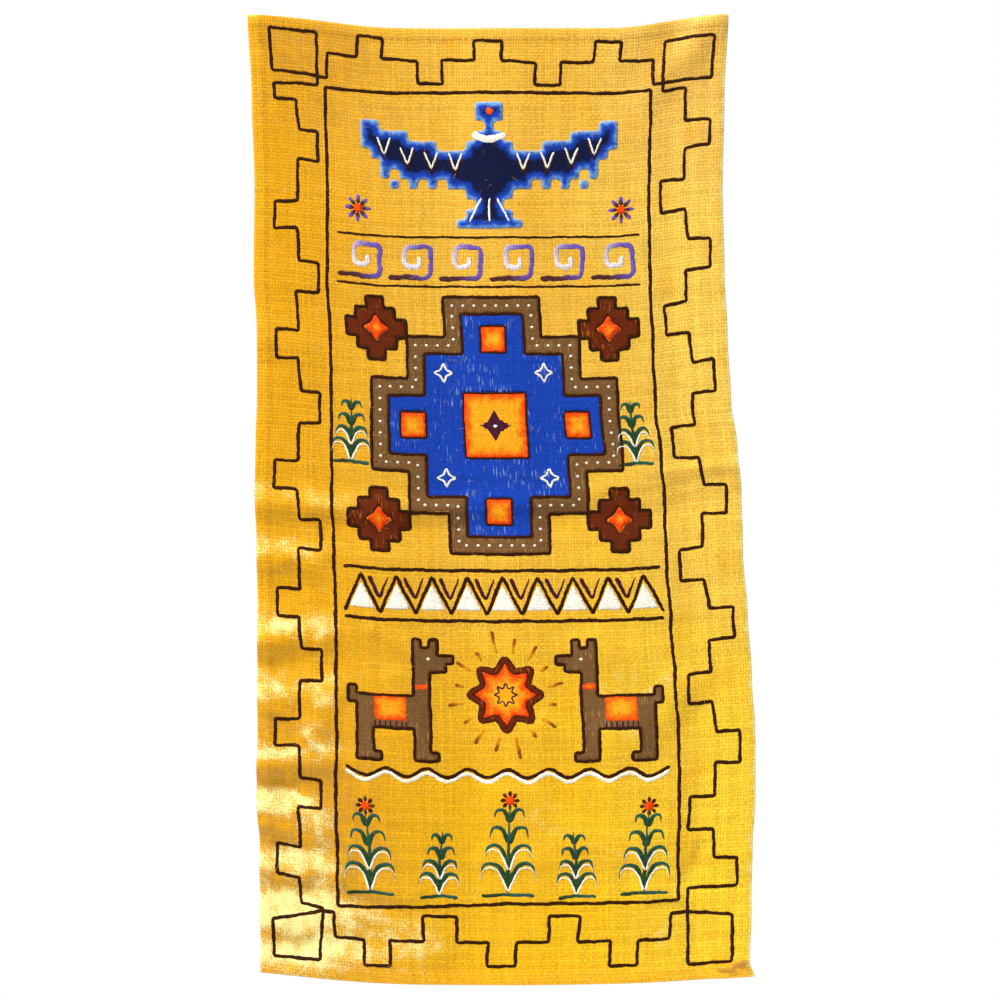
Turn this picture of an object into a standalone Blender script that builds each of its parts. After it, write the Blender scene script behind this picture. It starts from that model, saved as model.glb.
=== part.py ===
"""A hemmed burlap wall hanging, as it hangs from its two upper corners.

Metres, +Z up. The painted face looks along -Y. The origin is the middle of the
top edge, on the painted face. The cloth is one closed sheet: its hems are turned
to the back, so the sheet is thicker along its four edges.
"""

from typing import NamedTuple

import bmesh
import bpy
from mathutils import Vector

# Driving sizes of the finished cloth.
WIDTH = 0.452
LENGTH = 0.900
CLOTH_THICK = 0.0014
HEM_THICK = 0.0026
HEM_WIDE = 0.012
HEM_RAMP = 0.005

# How the top edge sags between its held corners, and the bottom edge with it.
CORNER_RISE = 0.0125
RISE_FROM_LEFT = 0.38
RISE_FROM_RIGHT = 0.52
RISE_TO = 0.95
RISE_SPREAD = 0.15
FOOT_LIFT_LEFT = 0.0125
FOOT_LIFT_RIGHT = 0.0085

# Mesh lines: closer together on the crumpled left part than on the right.
CRUMPLED_SHARE = 0.42
LINES_CRUMPLED = 13
LINES_RIGHT = 11
LINES_DOWN = 72

BURLAP_COLOUR = (0.84, 0.50, 0.07, 1.0)
BURLAP_ROUGHNESS = 0.62


class Side(NamedTuple):
    """How far each side edge stands to the right, at a share of the length."""

    down: float
    left: float
    right: float


class Swell(NamedTuple):
    """A broad wave that runs down the cloth. Its place and half width are shares
    of the width, and it stands this far forward at the top and at the foot."""

    across: float
    half_wide: float
    top: float
    foot: float


class Fold(NamedTuple):
    """A ridge, or a trough where its depth is below nought. It runs between two
    points given as shares across and down, and loses the share `fades` of its
    depth by its second point."""

    name: str
    across: float
    down: float
    to_across: float
    to_down: float
    half_wide: float
    depth: float
    fades: float


SIDES = (
    Side(0.000, 0.0000, 0.0000),
    Side(0.085, 0.0036, -0.0036),
    Side(0.180, 0.0062, -0.0054),
    Side(0.270, 0.0054, -0.0034),
    Side(0.335, 0.0086, -0.0006),
    Side(0.400, 0.0084, 0.0026),
    Side(0.450, 0.0072, 0.0086),
    Side(0.495, 0.0064, 0.0124),
    Side(0.560, 0.0082, 0.0138),
    Side(0.620, 0.0092, 0.0180),
    Side(0.690, 0.0088, 0.0222),
    Side(0.750, 0.0092, 0.0254),
    Side(0.810, 0.0080, 0.0254),
    Side(0.870, 0.0110, 0.0226),
    Side(0.930, 0.0118, 0.0218),
    Side(0.985, 0.0122, 0.0202),
    Side(1.000, 0.0124, 0.0244),
)

SWELLS = (
    Swell(across=0.24, half_wide=0.26, top=0.0020, foot=0.0105),
    Swell(across=0.54, half_wide=0.17, top=0.0034, foot=0.0026),
    Swell(across=0.75, half_wide=0.18, top=0.0012, foot=0.0042),
    Swell(across=1.00, half_wide=0.13, top=0.0030, foot=0.0045),
)

FOLDS = (
    Fold("left_corner_pull", 0.02, 0.004, 0.16, 0.088, 0.011, 0.0042, 0.8),
    Fold("right_corner_pull", 0.98, 0.004, 0.83, 0.088, 0.011, 0.0030, 0.8),
    Fold("right_corner_trough", 0.90, 0.000, 0.75, 0.076, 0.013, -0.0018, 0.8),
    Fold("upper_left_ripple", 0.00, 0.335, 0.14, 0.350, 0.014, 0.0026, 0.7),
    Fold("half_fold_left", 0.00, 0.512, 0.40, 0.503, 0.010, 0.0032, 0.4),
    Fold("half_fold_right", 1.00, 0.475, 0.40, 0.503, 0.011, 0.0018, 0.1),
    Fold("under_half_fold", 1.00, 0.500, 0.00, 0.536, 0.014, -0.0016, 0.0),
    Fold("edge_wrinkle_1", 0.00, 0.567, 0.13, 0.562, 0.009, 0.0034, 0.6),
    Fold("slant_wrinkle_2", 0.12, 0.572, 0.18, 0.612, 0.009, 0.0030, 0.3),
    Fold("edge_trough_2", 0.00, 0.606, 0.15, 0.598, 0.014, -0.0026, 0.7),
    Fold("edge_wrinkle_3", 0.00, 0.656, 0.22, 0.629, 0.011, 0.0060, 0.7),
    Fold("edge_trough_3", 0.00, 0.682, 0.16, 0.672, 0.011, -0.0034, 0.7),
    Fold("edge_wrinkle_4", 0.00, 0.717, 0.12, 0.712, 0.009, 0.0044, 0.6),
    Fold("slant_wrinkle_4", 0.16, 0.700, 0.11, 0.752, 0.010, 0.0034, 0.3),
    Fold("edge_wrinkle_5", 0.00, 0.784, 0.20, 0.772, 0.010, 0.0062, 0.7),
    Fold("edge_trough_5", 0.00, 0.806, 0.14, 0.804, 0.011, -0.0040, 0.7),
    Fold("edge_wrinkle_6", 0.00, 0.834, 0.12, 0.848, 0.012, 0.0050, 0.5),
    Fold("slant_wrinkle_6", 0.10, 0.826, 0.17, 0.872, 0.010, 0.0040, 0.4),
    Fold("edge_trough_7", 0.00, 0.866, 0.06, 0.878, 0.010, -0.0036, 0.4),
    Fold("slant_wrinkle_7", 0.00, 0.893, 0.16, 0.888, 0.010, 0.0052, 0.4),
    Fold("foot_wrinkle_8", 0.00, 0.945, 0.18, 0.935, 0.013, 0.0052, 0.5),
    Fold("foot_wrinkle_9", 0.00, 0.994, 0.36, 0.970, 0.012, 0.0046, 0.6),
    Fold("shin_wrinkle", 0.50, 0.806, 0.64, 0.846, 0.014, 0.0032, 0.5),
    Fold("right_slant_1", 0.69, 0.650, 0.86, 0.690, 0.016, 0.0034, 0.5),
    Fold("right_slant_2", 0.86, 0.700, 0.72, 0.745, 0.016, 0.0034, 0.5),
    Fold("right_slant_3", 0.63, 0.858, 0.76, 0.866, 0.016, 0.0032, 0.5),
    Fold("right_edge_dent", 1.00, 0.905, 0.91, 0.880, 0.014, -0.0032, 0.6),
    Fold("turned_corner", 1.00, 0.985, 0.93, 1.000, 0.004, 0.0026, 0.4),
)


def smooth(share):
    """Eases a share between nought and one."""
    held = min(1.0, max(0.0, share))
    return held * held * (3.0 - 2.0 * held)


def side_offsets(down):
    """How far the left and right edges stand to the right at this share down."""
    for above, below in zip(SIDES, SIDES[1:]):
        if down <= below.down:
            share = smooth((down - above.down) / (below.down - above.down))
            left = above.left + share * (below.left - above.left)
            right = above.right + share * (below.right - above.right)
            return left, right
    return SIDES[-1].left, SIDES[-1].right


def top_edge(across):
    """Height of the top edge: it sags between the two held corners."""
    side = 2.0 * across - 1.0
    start = RISE_FROM_LEFT if side < 0.0 else RISE_FROM_RIGHT
    ease = smooth((abs(side) - start) / (RISE_TO - start))
    return CORNER_RISE * (RISE_SPREAD * side * side + (1.0 - RISE_SPREAD) * ease)


def foot_edge(across):
    """Height of the bottom edge, lowest at its middle."""
    side = 2.0 * across - 1.0
    lift = FOOT_LIFT_LEFT if side < 0.0 else FOOT_LIFT_RIGHT
    return -LENGTH + lift * side * side


def swell_forward(across, down):
    """How far the broad waves push the cloth forward at one point."""
    forward = 0.0
    for swell in SWELLS:
        crest = 1.0 - smooth(abs(across - swell.across) / swell.half_wide)
        forward += crest * (swell.top + (swell.foot - swell.top) * smooth(down))
    return forward


def fold_forward(across, down):
    """How far the creases and wrinkles push the cloth forward at one point."""
    point = Vector((across * WIDTH, down * LENGTH))
    forward = 0.0
    for fold in FOLDS:
        start = Vector((fold.across * WIDTH, fold.down * LENGTH))
        run = Vector((fold.to_across * WIDTH, fold.to_down * LENGTH)) - start
        along = min(1.0, max(0.0, (point - start).dot(run) / run.length_squared))
        away = (point - start - along * run).length
        crest = 1.0 - smooth(away / (2.0 * fold.half_wide))
        forward += fold.depth * crest * (1.0 - fold.fades * along)
    return forward


def hang(across, down):
    """Where a point of the cloth hangs, from its shares across and down."""
    left, right = side_offsets(down)
    x = (across - 0.5) * WIDTH + left + across * (right - left)
    top, foot = top_edge(across), foot_edge(across)
    z = top + down * (foot - top)
    forward = swell_forward(across, down) + fold_forward(across, down)
    at_origin = swell_forward(0.5, 0.0) + fold_forward(0.5, 0.0)
    return Vector((x, at_origin - forward, z))


def steps(start, end, count):
    """Evenly spaced values after the start, up to and with the end."""
    return [start + (end - start) * step / count for step in range(1, count + 1)]


def lines_across():
    """Shares across of the mesh lines, with one at each edge of both side hems."""
    hem, ramp = HEM_WIDE / WIDTH, (HEM_WIDE + HEM_RAMP) / WIDTH
    crumpled = steps(ramp, CRUMPLED_SHARE, LINES_CRUMPLED)
    right = steps(CRUMPLED_SHARE, 1.0 - ramp, LINES_RIGHT)
    return [0.0, hem, ramp, *crumpled, *right, 1.0 - hem, 1.0]


def lines_down():
    """Shares down of the mesh lines, with one at each edge of both end hems."""
    hem, ramp = HEM_WIDE / LENGTH, (HEM_WIDE + HEM_RAMP) / LENGTH
    return [0.0, hem, ramp, *steps(ramp, 1.0 - ramp, LINES_DOWN), 1.0 - hem, 1.0]


def thickness_share(across, down):
    """The cloth's thickness at one point, as a share of the hem's."""
    to_side = min(across, 1.0 - across) * WIDTH
    to_end = min(down, 1.0 - down) * LENGTH
    in_hem = min(to_side, to_end) < HEM_WIDE + HEM_RAMP / 2.0
    return 1.0 if in_hem else CLOTH_THICK / HEM_THICK


def hanging_cloth(material):
    """The cloth with its turned hems, as one closed sheet."""
    mesh = bpy.data.meshes.new("cloth")
    cloth = bpy.data.objects.new("cloth", mesh)
    bpy.context.scene.collection.objects.link(cloth)
    hem_group = cloth.vertex_groups.new(name="hem_thickness")

    across, down = lines_across(), lines_down()
    shape = bmesh.new()
    weights = shape.verts.layers.deform.verify()
    rows = []
    for v in down:
        row = []
        for u in across:
            vert = shape.verts.new(hang(u, v))
            vert[weights][hem_group.index] = thickness_share(u, v)
            row.append(vert)
        rows.append(row)
    for upper, lower in zip(rows, rows[1:]):
        for left in range(len(across) - 1):
            right = left + 1
            shape.faces.new((upper[left], lower[left], lower[right], upper[right]))
    shape.to_mesh(mesh)
    shape.free()

    thicken = cloth.modifiers.new("hemmed_thickness", "SOLIDIFY")
    thicken.thickness = HEM_THICK
    thicken.offset = -1.0
    thicken.vertex_group = hem_group.name
    thicken.use_rim = True
    mesh.materials.append(material)
    mesh.shade_smooth()
    return cloth


def burlap():
    """Yellow dyed burlap."""
    material = bpy.data.materials.new("burlap")
    material.use_nodes = True
    shader = material.node_tree.nodes["Principled BSDF"]
    shader.inputs["Base Color"].default_value = BURLAP_COLOUR
    shader.inputs["Roughness"].default_value = BURLAP_ROUGHNESS
    shader.inputs["Metallic"].default_value = 0.0
    return material


def main():
    """Clears the scene and builds the hanging."""
    for old in list(bpy.data.objects):
        bpy.data.objects.remove(old)
    hanging_cloth(burlap())


main()
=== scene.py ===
"""A painted burlap wall hanging: its cloth, hems, stitches and brushwork.

The painted face looks along -Y and the middle of the top edge is the origin. Places
on the cloth are flat places: millimetres to the right of its left edge and down from
its top edge, as it would lie on a table. The cloth then carries them to where it hangs.
"""

from __future__ import annotations

import logging
import math
import random
from dataclasses import dataclass, field
from enum import Enum
from typing import Iterable, Mapping, NamedTuple, Sequence

import bmesh
import bpy
import numpy as np
from bpy.types import ID, Material, Mesh, Node, NodeSocket, NodeTree, Object
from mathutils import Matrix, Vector, geometry


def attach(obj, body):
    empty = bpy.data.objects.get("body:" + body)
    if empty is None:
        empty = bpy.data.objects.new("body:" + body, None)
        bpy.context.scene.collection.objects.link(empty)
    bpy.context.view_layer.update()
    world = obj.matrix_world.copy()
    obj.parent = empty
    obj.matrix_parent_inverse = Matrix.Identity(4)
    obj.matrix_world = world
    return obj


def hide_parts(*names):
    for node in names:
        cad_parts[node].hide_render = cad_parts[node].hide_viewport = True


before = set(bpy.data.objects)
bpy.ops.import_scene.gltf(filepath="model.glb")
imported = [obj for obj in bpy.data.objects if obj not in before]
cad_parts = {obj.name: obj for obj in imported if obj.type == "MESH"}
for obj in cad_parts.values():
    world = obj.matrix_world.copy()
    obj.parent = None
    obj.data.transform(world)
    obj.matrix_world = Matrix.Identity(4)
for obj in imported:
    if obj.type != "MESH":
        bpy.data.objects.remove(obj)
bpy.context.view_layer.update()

MM = 0.001
BODY = "root"
SEED = 7

FlatPoint = tuple[float, float]
Span = tuple[float, float]
log = logging.getLogger("hanging")


# The hanging form

class Side(NamedTuple):
    """How far each side edge stands to the right, at a share of the length."""

    down: float
    left: float
    right: float


class Swell(NamedTuple):
    """A broad wave down the cloth: its place and half width across, and its depths."""

    across: float
    half_wide: float
    top: float
    foot: float


class Fold(NamedTuple):
    """A ridge or trough between two points, in shares across and down."""

    across: float
    down: float
    to_across: float
    to_down: float
    half_wide: float
    depth: float
    fades: float


def smooth(share: np.ndarray) -> np.ndarray:
    """Eases shares between nought and one."""
    held = np.clip(share, 0.0, 1.0)
    return held * held * (3.0 - 2.0 * held)


def risen(values: np.ndarray, span: Span) -> np.ndarray:
    """Eases values from nought at the start of a span to one at its end."""
    return smooth((values - span[0]) / (span[1] - span[0]))


@dataclass(frozen=True)
class HangingForm:
    """The shape in which the cloth hangs, as its solid has it, with finer creases."""

    width: float = 0.452
    length: float = 0.900
    corner_rise: float = 0.0125
    rise_from_left: float = 0.38
    rise_from_right: float = 0.52
    rise_to: float = 0.95
    rise_spread: float = 0.15
    foot_lift_left: float = 0.0125
    foot_lift_right: float = 0.0085
    sides: tuple[Side, ...] = (
        Side(0.000, 0.0000, 0.0000),
        Side(0.085, 0.0036, -0.0036),
        Side(0.180, 0.0062, -0.0054),
        Side(0.270, 0.0054, -0.0034),
        Side(0.335, 0.0086, -0.0006),
        Side(0.400, 0.0084, 0.0026),
        Side(0.450, 0.0072, 0.0086),
        Side(0.495, 0.0064, 0.0124),
        Side(0.560, 0.0082, 0.0138),
        Side(0.620, 0.0092, 0.0180),
        Side(0.690, 0.0088, 0.0222),
        Side(0.750, 0.0092, 0.0254),
        Side(0.810, 0.0080, 0.0254),
        Side(0.870, 0.0110, 0.0226),
        Side(0.930, 0.0118, 0.0218),
        Side(0.985, 0.0122, 0.0202),
        Side(1.000, 0.0124, 0.0244),
    )
    swells: tuple[Swell, ...] = (
        Swell(across=0.24, half_wide=0.26, top=0.0020, foot=0.0105),
        Swell(across=0.54, half_wide=0.17, top=0.0034, foot=0.0026),
        Swell(across=0.75, half_wide=0.18, top=0.0012, foot=0.0042),
        Swell(across=1.00, half_wide=0.13, top=0.0030, foot=0.0045),
    )
    folds: tuple[Fold, ...] = (
        Fold(0.02, 0.004, 0.16, 0.088, 0.011, 0.0042, 0.8),
        Fold(0.98, 0.004, 0.83, 0.088, 0.011, 0.0030, 0.8),
        Fold(0.90, 0.000, 0.75, 0.076, 0.013, -0.0018, 0.8),
        Fold(0.00, 0.335, 0.14, 0.350, 0.014, 0.0026, 0.7),
        Fold(0.00, 0.512, 0.40, 0.503, 0.010, 0.0032, 0.4),
        Fold(1.00, 0.475, 0.40, 0.503, 0.011, 0.0018, 0.1),
        Fold(1.00, 0.500, 0.00, 0.536, 0.014, -0.0016, 0.0),
        Fold(0.00, 0.567, 0.13, 0.562, 0.009, 0.0034, 0.6),
        Fold(0.12, 0.572, 0.18, 0.612, 0.009, 0.0030, 0.3),
        Fold(0.00, 0.606, 0.15, 0.598, 0.014, -0.0026, 0.7),
        Fold(0.00, 0.656, 0.22, 0.629, 0.011, 0.0060, 0.7),
        Fold(0.00, 0.682, 0.16, 0.672, 0.011, -0.0034, 0.7),
        Fold(0.00, 0.717, 0.12, 0.712, 0.009, 0.0044, 0.6),
        Fold(0.16, 0.700, 0.11, 0.752, 0.010, 0.0034, 0.3),
        Fold(0.00, 0.784, 0.20, 0.772, 0.010, 0.0062, 0.7),
        Fold(0.00, 0.806, 0.14, 0.804, 0.011, -0.0040, 0.7),
        Fold(0.00, 0.834, 0.12, 0.848, 0.012, 0.0050, 0.5),
        Fold(0.10, 0.826, 0.17, 0.872, 0.010, 0.0040, 0.4),
        Fold(0.00, 0.866, 0.06, 0.878, 0.010, -0.0036, 0.4),
        Fold(0.00, 0.893, 0.16, 0.888, 0.010, 0.0052, 0.4),
        Fold(0.00, 0.945, 0.18, 0.935, 0.013, 0.0052, 0.5),
        Fold(0.00, 0.994, 0.36, 0.970, 0.012, 0.0046, 0.6),
        Fold(0.50, 0.806, 0.64, 0.846, 0.014, 0.0032, 0.5),
        Fold(0.69, 0.650, 0.86, 0.690, 0.016, 0.0034, 0.5),
        Fold(0.86, 0.700, 0.72, 0.745, 0.016, 0.0034, 0.5),
        Fold(0.63, 0.858, 0.76, 0.866, 0.016, 0.0032, 0.5),
        Fold(1.00, 0.905, 0.91, 0.880, 0.014, -0.0032, 0.6),
        Fold(1.00, 0.985, 0.93, 1.000, 0.004, 0.0026, 0.4),
    )
    crispness: float = 1.8
    fine_creases: tuple[Fold, ...] = (
        Fold(0.02, 0.050, 0.12, 0.070, 0.008, 0.0005, 0.8),
        Fold(0.30, 0.508, 0.66, 0.494, 0.005, 0.0004, 0.4),
        Fold(0.72, 0.492, 1.00, 0.478, 0.004, -0.0006, 0.3),
        Fold(0.12, 0.510, 0.22, 0.512, 0.006, 0.0007, 0.6),
        Fold(0.09, 0.558, 0.02, 0.582, 0.004, 0.0008, 0.5),
        Fold(0.24, 0.632, 0.34, 0.660, 0.007, 0.0012, 0.6),
        Fold(0.13, 0.650, 0.16, 0.686, 0.004, 0.0010, 0.4),
        Fold(0.02, 0.726, 0.13, 0.738, 0.004, 0.0010, 0.5),
        Fold(0.28, 0.680, 0.32, 0.722, 0.008, 0.0012, 0.5),
        Fold(0.10, 0.750, 0.15, 0.770, 0.004, 0.0012, 0.3),
        Fold(0.04, 0.796, 0.11, 0.816, 0.004, -0.0010, 0.4),
        Fold(0.02, 0.846, 0.09, 0.858, 0.005, 0.0012, 0.5),
        Fold(0.12, 0.900, 0.08, 0.926, 0.005, -0.0012, 0.4),
        Fold(0.17, 0.896, 0.30, 0.908, 0.008, 0.0016, 0.5),
        Fold(0.20, 0.916, 0.32, 0.930, 0.007, -0.0012, 0.5),
        Fold(0.03, 0.952, 0.14, 0.960, 0.005, 0.0012, 0.4),
        Fold(0.05, 0.990, 0.11, 0.960, 0.005, -0.0012, 0.3),
        Fold(0.14, 0.972, 0.22, 0.984, 0.005, 0.0012, 0.5),
        Fold(0.46, 0.868, 0.57, 0.876, 0.008, 0.0014, 0.5),
        Fold(0.58, 0.726, 0.66, 0.760, 0.008, 0.0012, 0.5),
        Fold(0.90, 0.862, 0.86, 0.902, 0.006, -0.0010, 0.5),
        Fold(0.78, 0.905, 0.90, 0.918, 0.007, 0.0012, 0.5),
    )

    def side_offsets(self, down: np.ndarray) -> tuple[np.ndarray, np.ndarray]:
        """How far both edges stand to the right.

        Args:
            down: Shares of the length.

        Returns:
            The offsets of the left and of the right edge, in metres.
        """
        left = np.full_like(down, self.sides[-1].left)
        right = np.full_like(down, self.sides[-1].right)
        for above, below in zip(self.sides, self.sides[1:]):
            here = (down >= above.down) & (down <= below.down)
            share = smooth((down[here] - above.down) / (below.down - above.down))
            left[here] = above.left + share * (below.left - above.left)
            right[here] = above.right + share * (below.right - above.right)
        return left, right

    def top_edge(self, across: np.ndarray) -> np.ndarray:
        """Height of the top edge, which sags between its two held corners.

        Args:
            across: Shares of the width.

        Returns:
            Heights in metres.
        """
        side = 2.0 * across - 1.0
        start = np.where(side < 0.0, self.rise_from_left, self.rise_from_right)
        ease = smooth((np.abs(side) - start) / (self.rise_to - start))
        level = self.rise_spread * side * side + (1.0 - self.rise_spread) * ease
        return self.corner_rise * level

    def foot_edge(self, across: np.ndarray) -> np.ndarray:
        """Height of the bottom edge, lowest at its middle.

        Args:
            across: Shares of the width.

        Returns:
            Heights in metres.
        """
        side = 2.0 * across - 1.0
        lift = np.where(side < 0.0, self.foot_lift_left, self.foot_lift_right)
        return -self.length + lift * side * side

    def forward(self, across: np.ndarray, down: np.ndarray) -> np.ndarray:
        """How far swells, folds and creases push the cloth forward.

        Args:
            across: Shares of the width.
            down: Shares of the length.

        Returns:
            Distances towards the viewer, in metres.
        """
        total = np.zeros_like(across)
        for swell in self.swells:
            crest = 1.0 - smooth(np.abs(across - swell.across) / swell.half_wide)
            total += crest * (swell.top + (swell.foot - swell.top) * smooth(down))
        point = np.stack([across * self.width, down * self.length], axis=-1)
        creases = [fold._replace(depth=fold.depth * self.crispness) for fold in self.fine_creases]
        for fold in (*self.folds, *creases):
            start = np.array([fold.across * self.width, fold.down * self.length])
            run = np.array([fold.to_across * self.width, fold.to_down * self.length])
            run = run - start
            along = np.clip((point - start) @ run / (run @ run), 0.0, 1.0)
            away = np.linalg.norm(point - start - along[..., None] * run, axis=-1)
            crest = 1.0 - smooth(away / (2.0 * fold.half_wide))
            total += fold.depth * crest * (1.0 - fold.fades * along)
        return total

    def places(self, across: np.ndarray, down: np.ndarray) -> np.ndarray:
        """Where points of the painted face hang.

        Args:
            across: Shares of the width, from the left edge.
            down: Shares of the length, from the top edge.

        Returns:
            Places in metres, with one more axis than the shares.
        """
        left, right = self.side_offsets(down)
        x = (across - 0.5) * self.width + left + across * (right - left)
        top, foot = self.top_edge(across), self.foot_edge(across)
        z = top + down * (foot - top)
        middle = self.forward(np.array([0.5]), np.array([0.0]))[0]
        return np.stack([x, middle - self.forward(across, down), z], axis=-1)


# The cloth

class Mark(NamedTuple):
    """A place of painted sheen, or of painted shade and soil: its middle and half sizes in flat
    millimetres.
    """

    across: float
    down: float
    half_wide: float
    half_high: float
    share: float


@dataclass
class Cloth:
    """The burlap panel with its four hems turned to the back."""

    form: HangingForm = field(default_factory=HangingForm)
    flat_width: float = 470.0
    flat_length: float = 910.0
    thick: float = 0.0014
    hem_wide: float = 12.0
    hem_thick: float = 0.0012
    hem_puff: float = 0.0005
    edge_thin: float = 0.35
    edge_round: float = 0.7
    sharp_degrees: float = 60.0
    # Where and how strongly the painted sheen and the painted glow along the right edge fall
    crumpled_down: Span = (0.36, 0.50)
    plain_across: Span = (0.30, 0.65)
    faces_up: Span = (0.10, 0.30)
    turns_up: Span = (-0.20, 0.10)
    right_glow_span: Span = (0.0, 5.0)
    upward_share: float = 0.9
    leftward_share: float = 0.45
    fold_sheen: float = 0.70
    edge_glow: float = 0.9
    sheen_spread: int = 9
    lines_across: int = 140
    lines_down: int = 270
    # Painted highlights: pale sheen patches, most of them on the crumpled lower left, where the cloth
    # catches the light
    sheen_marks: tuple[Mark, ...] = (
        Mark(34, 862, 74, 50, 1.15),
        Mark(38, 874, 26, 20, 1.7),
        Mark(120, 872, 66, 34, 0.6),
        Mark(45, 798, 34, 28, 0.85),
        Mark(57, 760, 16, 16, 0.8),
        Mark(19, 745, 22, 15, 0.9),
        Mark(60, 689, 16, 12, 0.8),
        Mark(37, 697, 42, 6, 0.7),
        Mark(62, 645, 12, 22, 0.5),
        Mark(37, 578, 44, 9, 0.8),
        Mark(20, 638, 30, 5, 0.6),
        Mark(356, 640, 44, 40, 0.4),
        Mark(266, 758, 26, 18, 0.4),
        Mark(325, 787, 28, 10, 0.35),
        Mark(388, 862, 14, 16, 0.5),
    )
    # Painted shade with some soil: darker places along creases and on the shaded sides of folds, across
    # the lower left between the painted highlights, and a painted shadow under the turned foot corner
    shaded_and_soiled: tuple[Mark, ...] = (
        Mark(66, 32, 70, 34, 0.75),
        Mark(110, 84, 60, 26, 0.4),
        Mark(36, 742, 30, 8, 0.7),
        Mark(60, 700, 40, 14, 0.4),
        Mark(70, 775, 26, 8, 0.6),
        Mark(300, 455, 60, 12, 0.5),
        Mark(170, 452, 70, 10, 0.4),
        Mark(66, 815, 30, 8, 0.5),
        Mark(25, 800, 105, 150, 1.05),
        Mark(60, 75, 60, 35, 0.45),
        Mark(418, 430, 52, 5, 0.8),
        Mark(425, 42, 42, 44, 0.5),
        Mark(446, 903, 9, 2.5, 2.6),
        Mark(457, 899, 9, 3.0, 2.8),
        Mark(465, 896, 6, 3.0, 2.8),
        Mark(442, 14, 4, 9, 1.2),
    )

    def __post_init__(self) -> None:
        """Works out the painted face's grid, which every painted piece follows."""
        across = self.shares(self.lines_across, self.hem_wide / self.flat_width)
        down = self.shares(self.lines_down, self.hem_wide / self.flat_length)
        self.across, self.down = across, down
        u, v = np.meshgrid(across, down)
        self.front = self.form.places(u, v)
        self.front[..., 1] -= self.hem_puff * self.hem_round(u, v)
        self.normals = self.grid_normals(self.front)

    @staticmethod
    def shares(lines: int, hem: float) -> np.ndarray:
        """Even shares, with closer lines where the hem is folded and where it ends.

        Args:
            lines: How many lines lie between the hems.
            hem: The hem's share.

        Returns:
            The lines' places as shares.
        """
        inner = np.linspace(hem * 1.12, 1.0 - hem * 1.12, lines)
        near = np.array([0.0, 0.06, 0.25, 0.60, 0.92]) * hem
        return np.concatenate([near, inner, 1.0 - near[::-1]])

    def to_edge(self, u: np.ndarray, v: np.ndarray) -> np.ndarray:
        """Distance to the nearest edge, in flat millimetres."""
        to_side = np.minimum(u, 1.0 - u) * self.flat_width
        return np.minimum(to_side, np.minimum(v, 1.0 - v) * self.flat_length)

    def hem_round(self, u: np.ndarray, v: np.ndarray) -> np.ndarray:
        """How far the doubled hem stands proud, less than nought at its very edge.

        Args:
            u: Shares of the width.
            v: Shares of the length.

        Returns:
            Shares of the hem's rise.
        """
        inwards = self.to_edge(u, v) / self.hem_wide
        proud = smooth(inwards * 6.0) * (1.0 - smooth((inwards - 0.80) * 3.0))
        return proud - 0.6 * (1.0 - smooth(inwards * 8.0))

    @staticmethod
    def grid_normals(grid: np.ndarray) -> np.ndarray:
        """Unit normals of a grid of places, towards the painted side.

        Args:
            grid: Places in rows and columns.

        Returns:
            A normal for each place.
        """
        run_down, run_across = np.gradient(grid, axis=(0, 1))
        normals = np.cross(run_across, run_down)
        normals /= np.linalg.norm(normals, axis=-1, keepdims=True)
        return np.where(normals[..., 1:2] > 0.0, -normals, normals)

    def carry(self, flat: np.ndarray, lift: np.ndarray | float) -> np.ndarray:
        """Carries flat places to the hanging face.

        Args:
            flat: Places in flat millimetres, as rows.
            lift: How far each stands off the cloth, in metres.

        Returns:
            Places in metres, as rows.
        """
        u = np.clip(flat[:, 0] / self.flat_width, 0.0, 1.0)
        v = np.clip(flat[:, 1] / self.flat_length, 0.0, 1.0)
        i = np.clip(np.searchsorted(self.across, u) - 1, 0, len(self.across) - 2)
        j = np.clip(np.searchsorted(self.down, v) - 1, 0, len(self.down) - 2)
        s = ((u - self.across[i]) / (self.across[i + 1] - self.across[i]))[:, None]
        t = ((v - self.down[j]) / (self.down[j + 1] - self.down[j]))[:, None]

        def blended(grid: np.ndarray) -> np.ndarray:
            """Mixes the corners of each point's own triangle of the grid.

            Args:
                grid: A vector at each grid point.

            Returns:
                One for each place.
            """
            near, far = grid[j, i], grid[j + 1, i + 1]
            below, beside = grid[j + 1, i], grid[j, i + 1]
            lower = near + t * (below - near) + s * (far - below)
            upper = near + s * (beside - near) + t * (far - beside)
            return np.where(t >= s, lower, upper)

        lifts = np.broadcast_to(lift, (len(flat),))[:, None]
        return blended(self.front) + lifts * blended(self.normals)

    def build(self, material: Material) -> Object:
        """Builds the cloth as one closed sheet.

        Args:
            material: The burlap.

        Returns:
            The cloth, which replaces the solid's node.
        """
        u, v = np.meshgrid(self.across, self.down)
        to_edge = self.to_edge(u, v)
        full = self.edge_thin + (1.0 - self.edge_thin) * smooth(to_edge / self.edge_round)
        depth = (self.thick + self.hem_thick * (to_edge < self.hem_wide)) * full
        back = self.front - self.normals * depth[..., None]
        count = u.size
        index = np.arange(count).reshape(u.shape)

        def halves(a: np.ndarray, b: np.ndarray, c: np.ndarray, d: np.ndarray) -> np.ndarray:
            """Two triangles for each set of four corners, split from a to c."""
            corners = [np.stack([a, b, c], axis=-1), np.stack([a, c, d], axis=-1)]
            return np.concatenate([part.reshape(-1, 3) for part in corners])

        def rim(a: np.ndarray) -> np.ndarray:
            """Faces between a run of points on the front and the same run on the back."""
            return halves(a[:-1], a[1:], a[1:] + count, a[:-1] + count)

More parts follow.
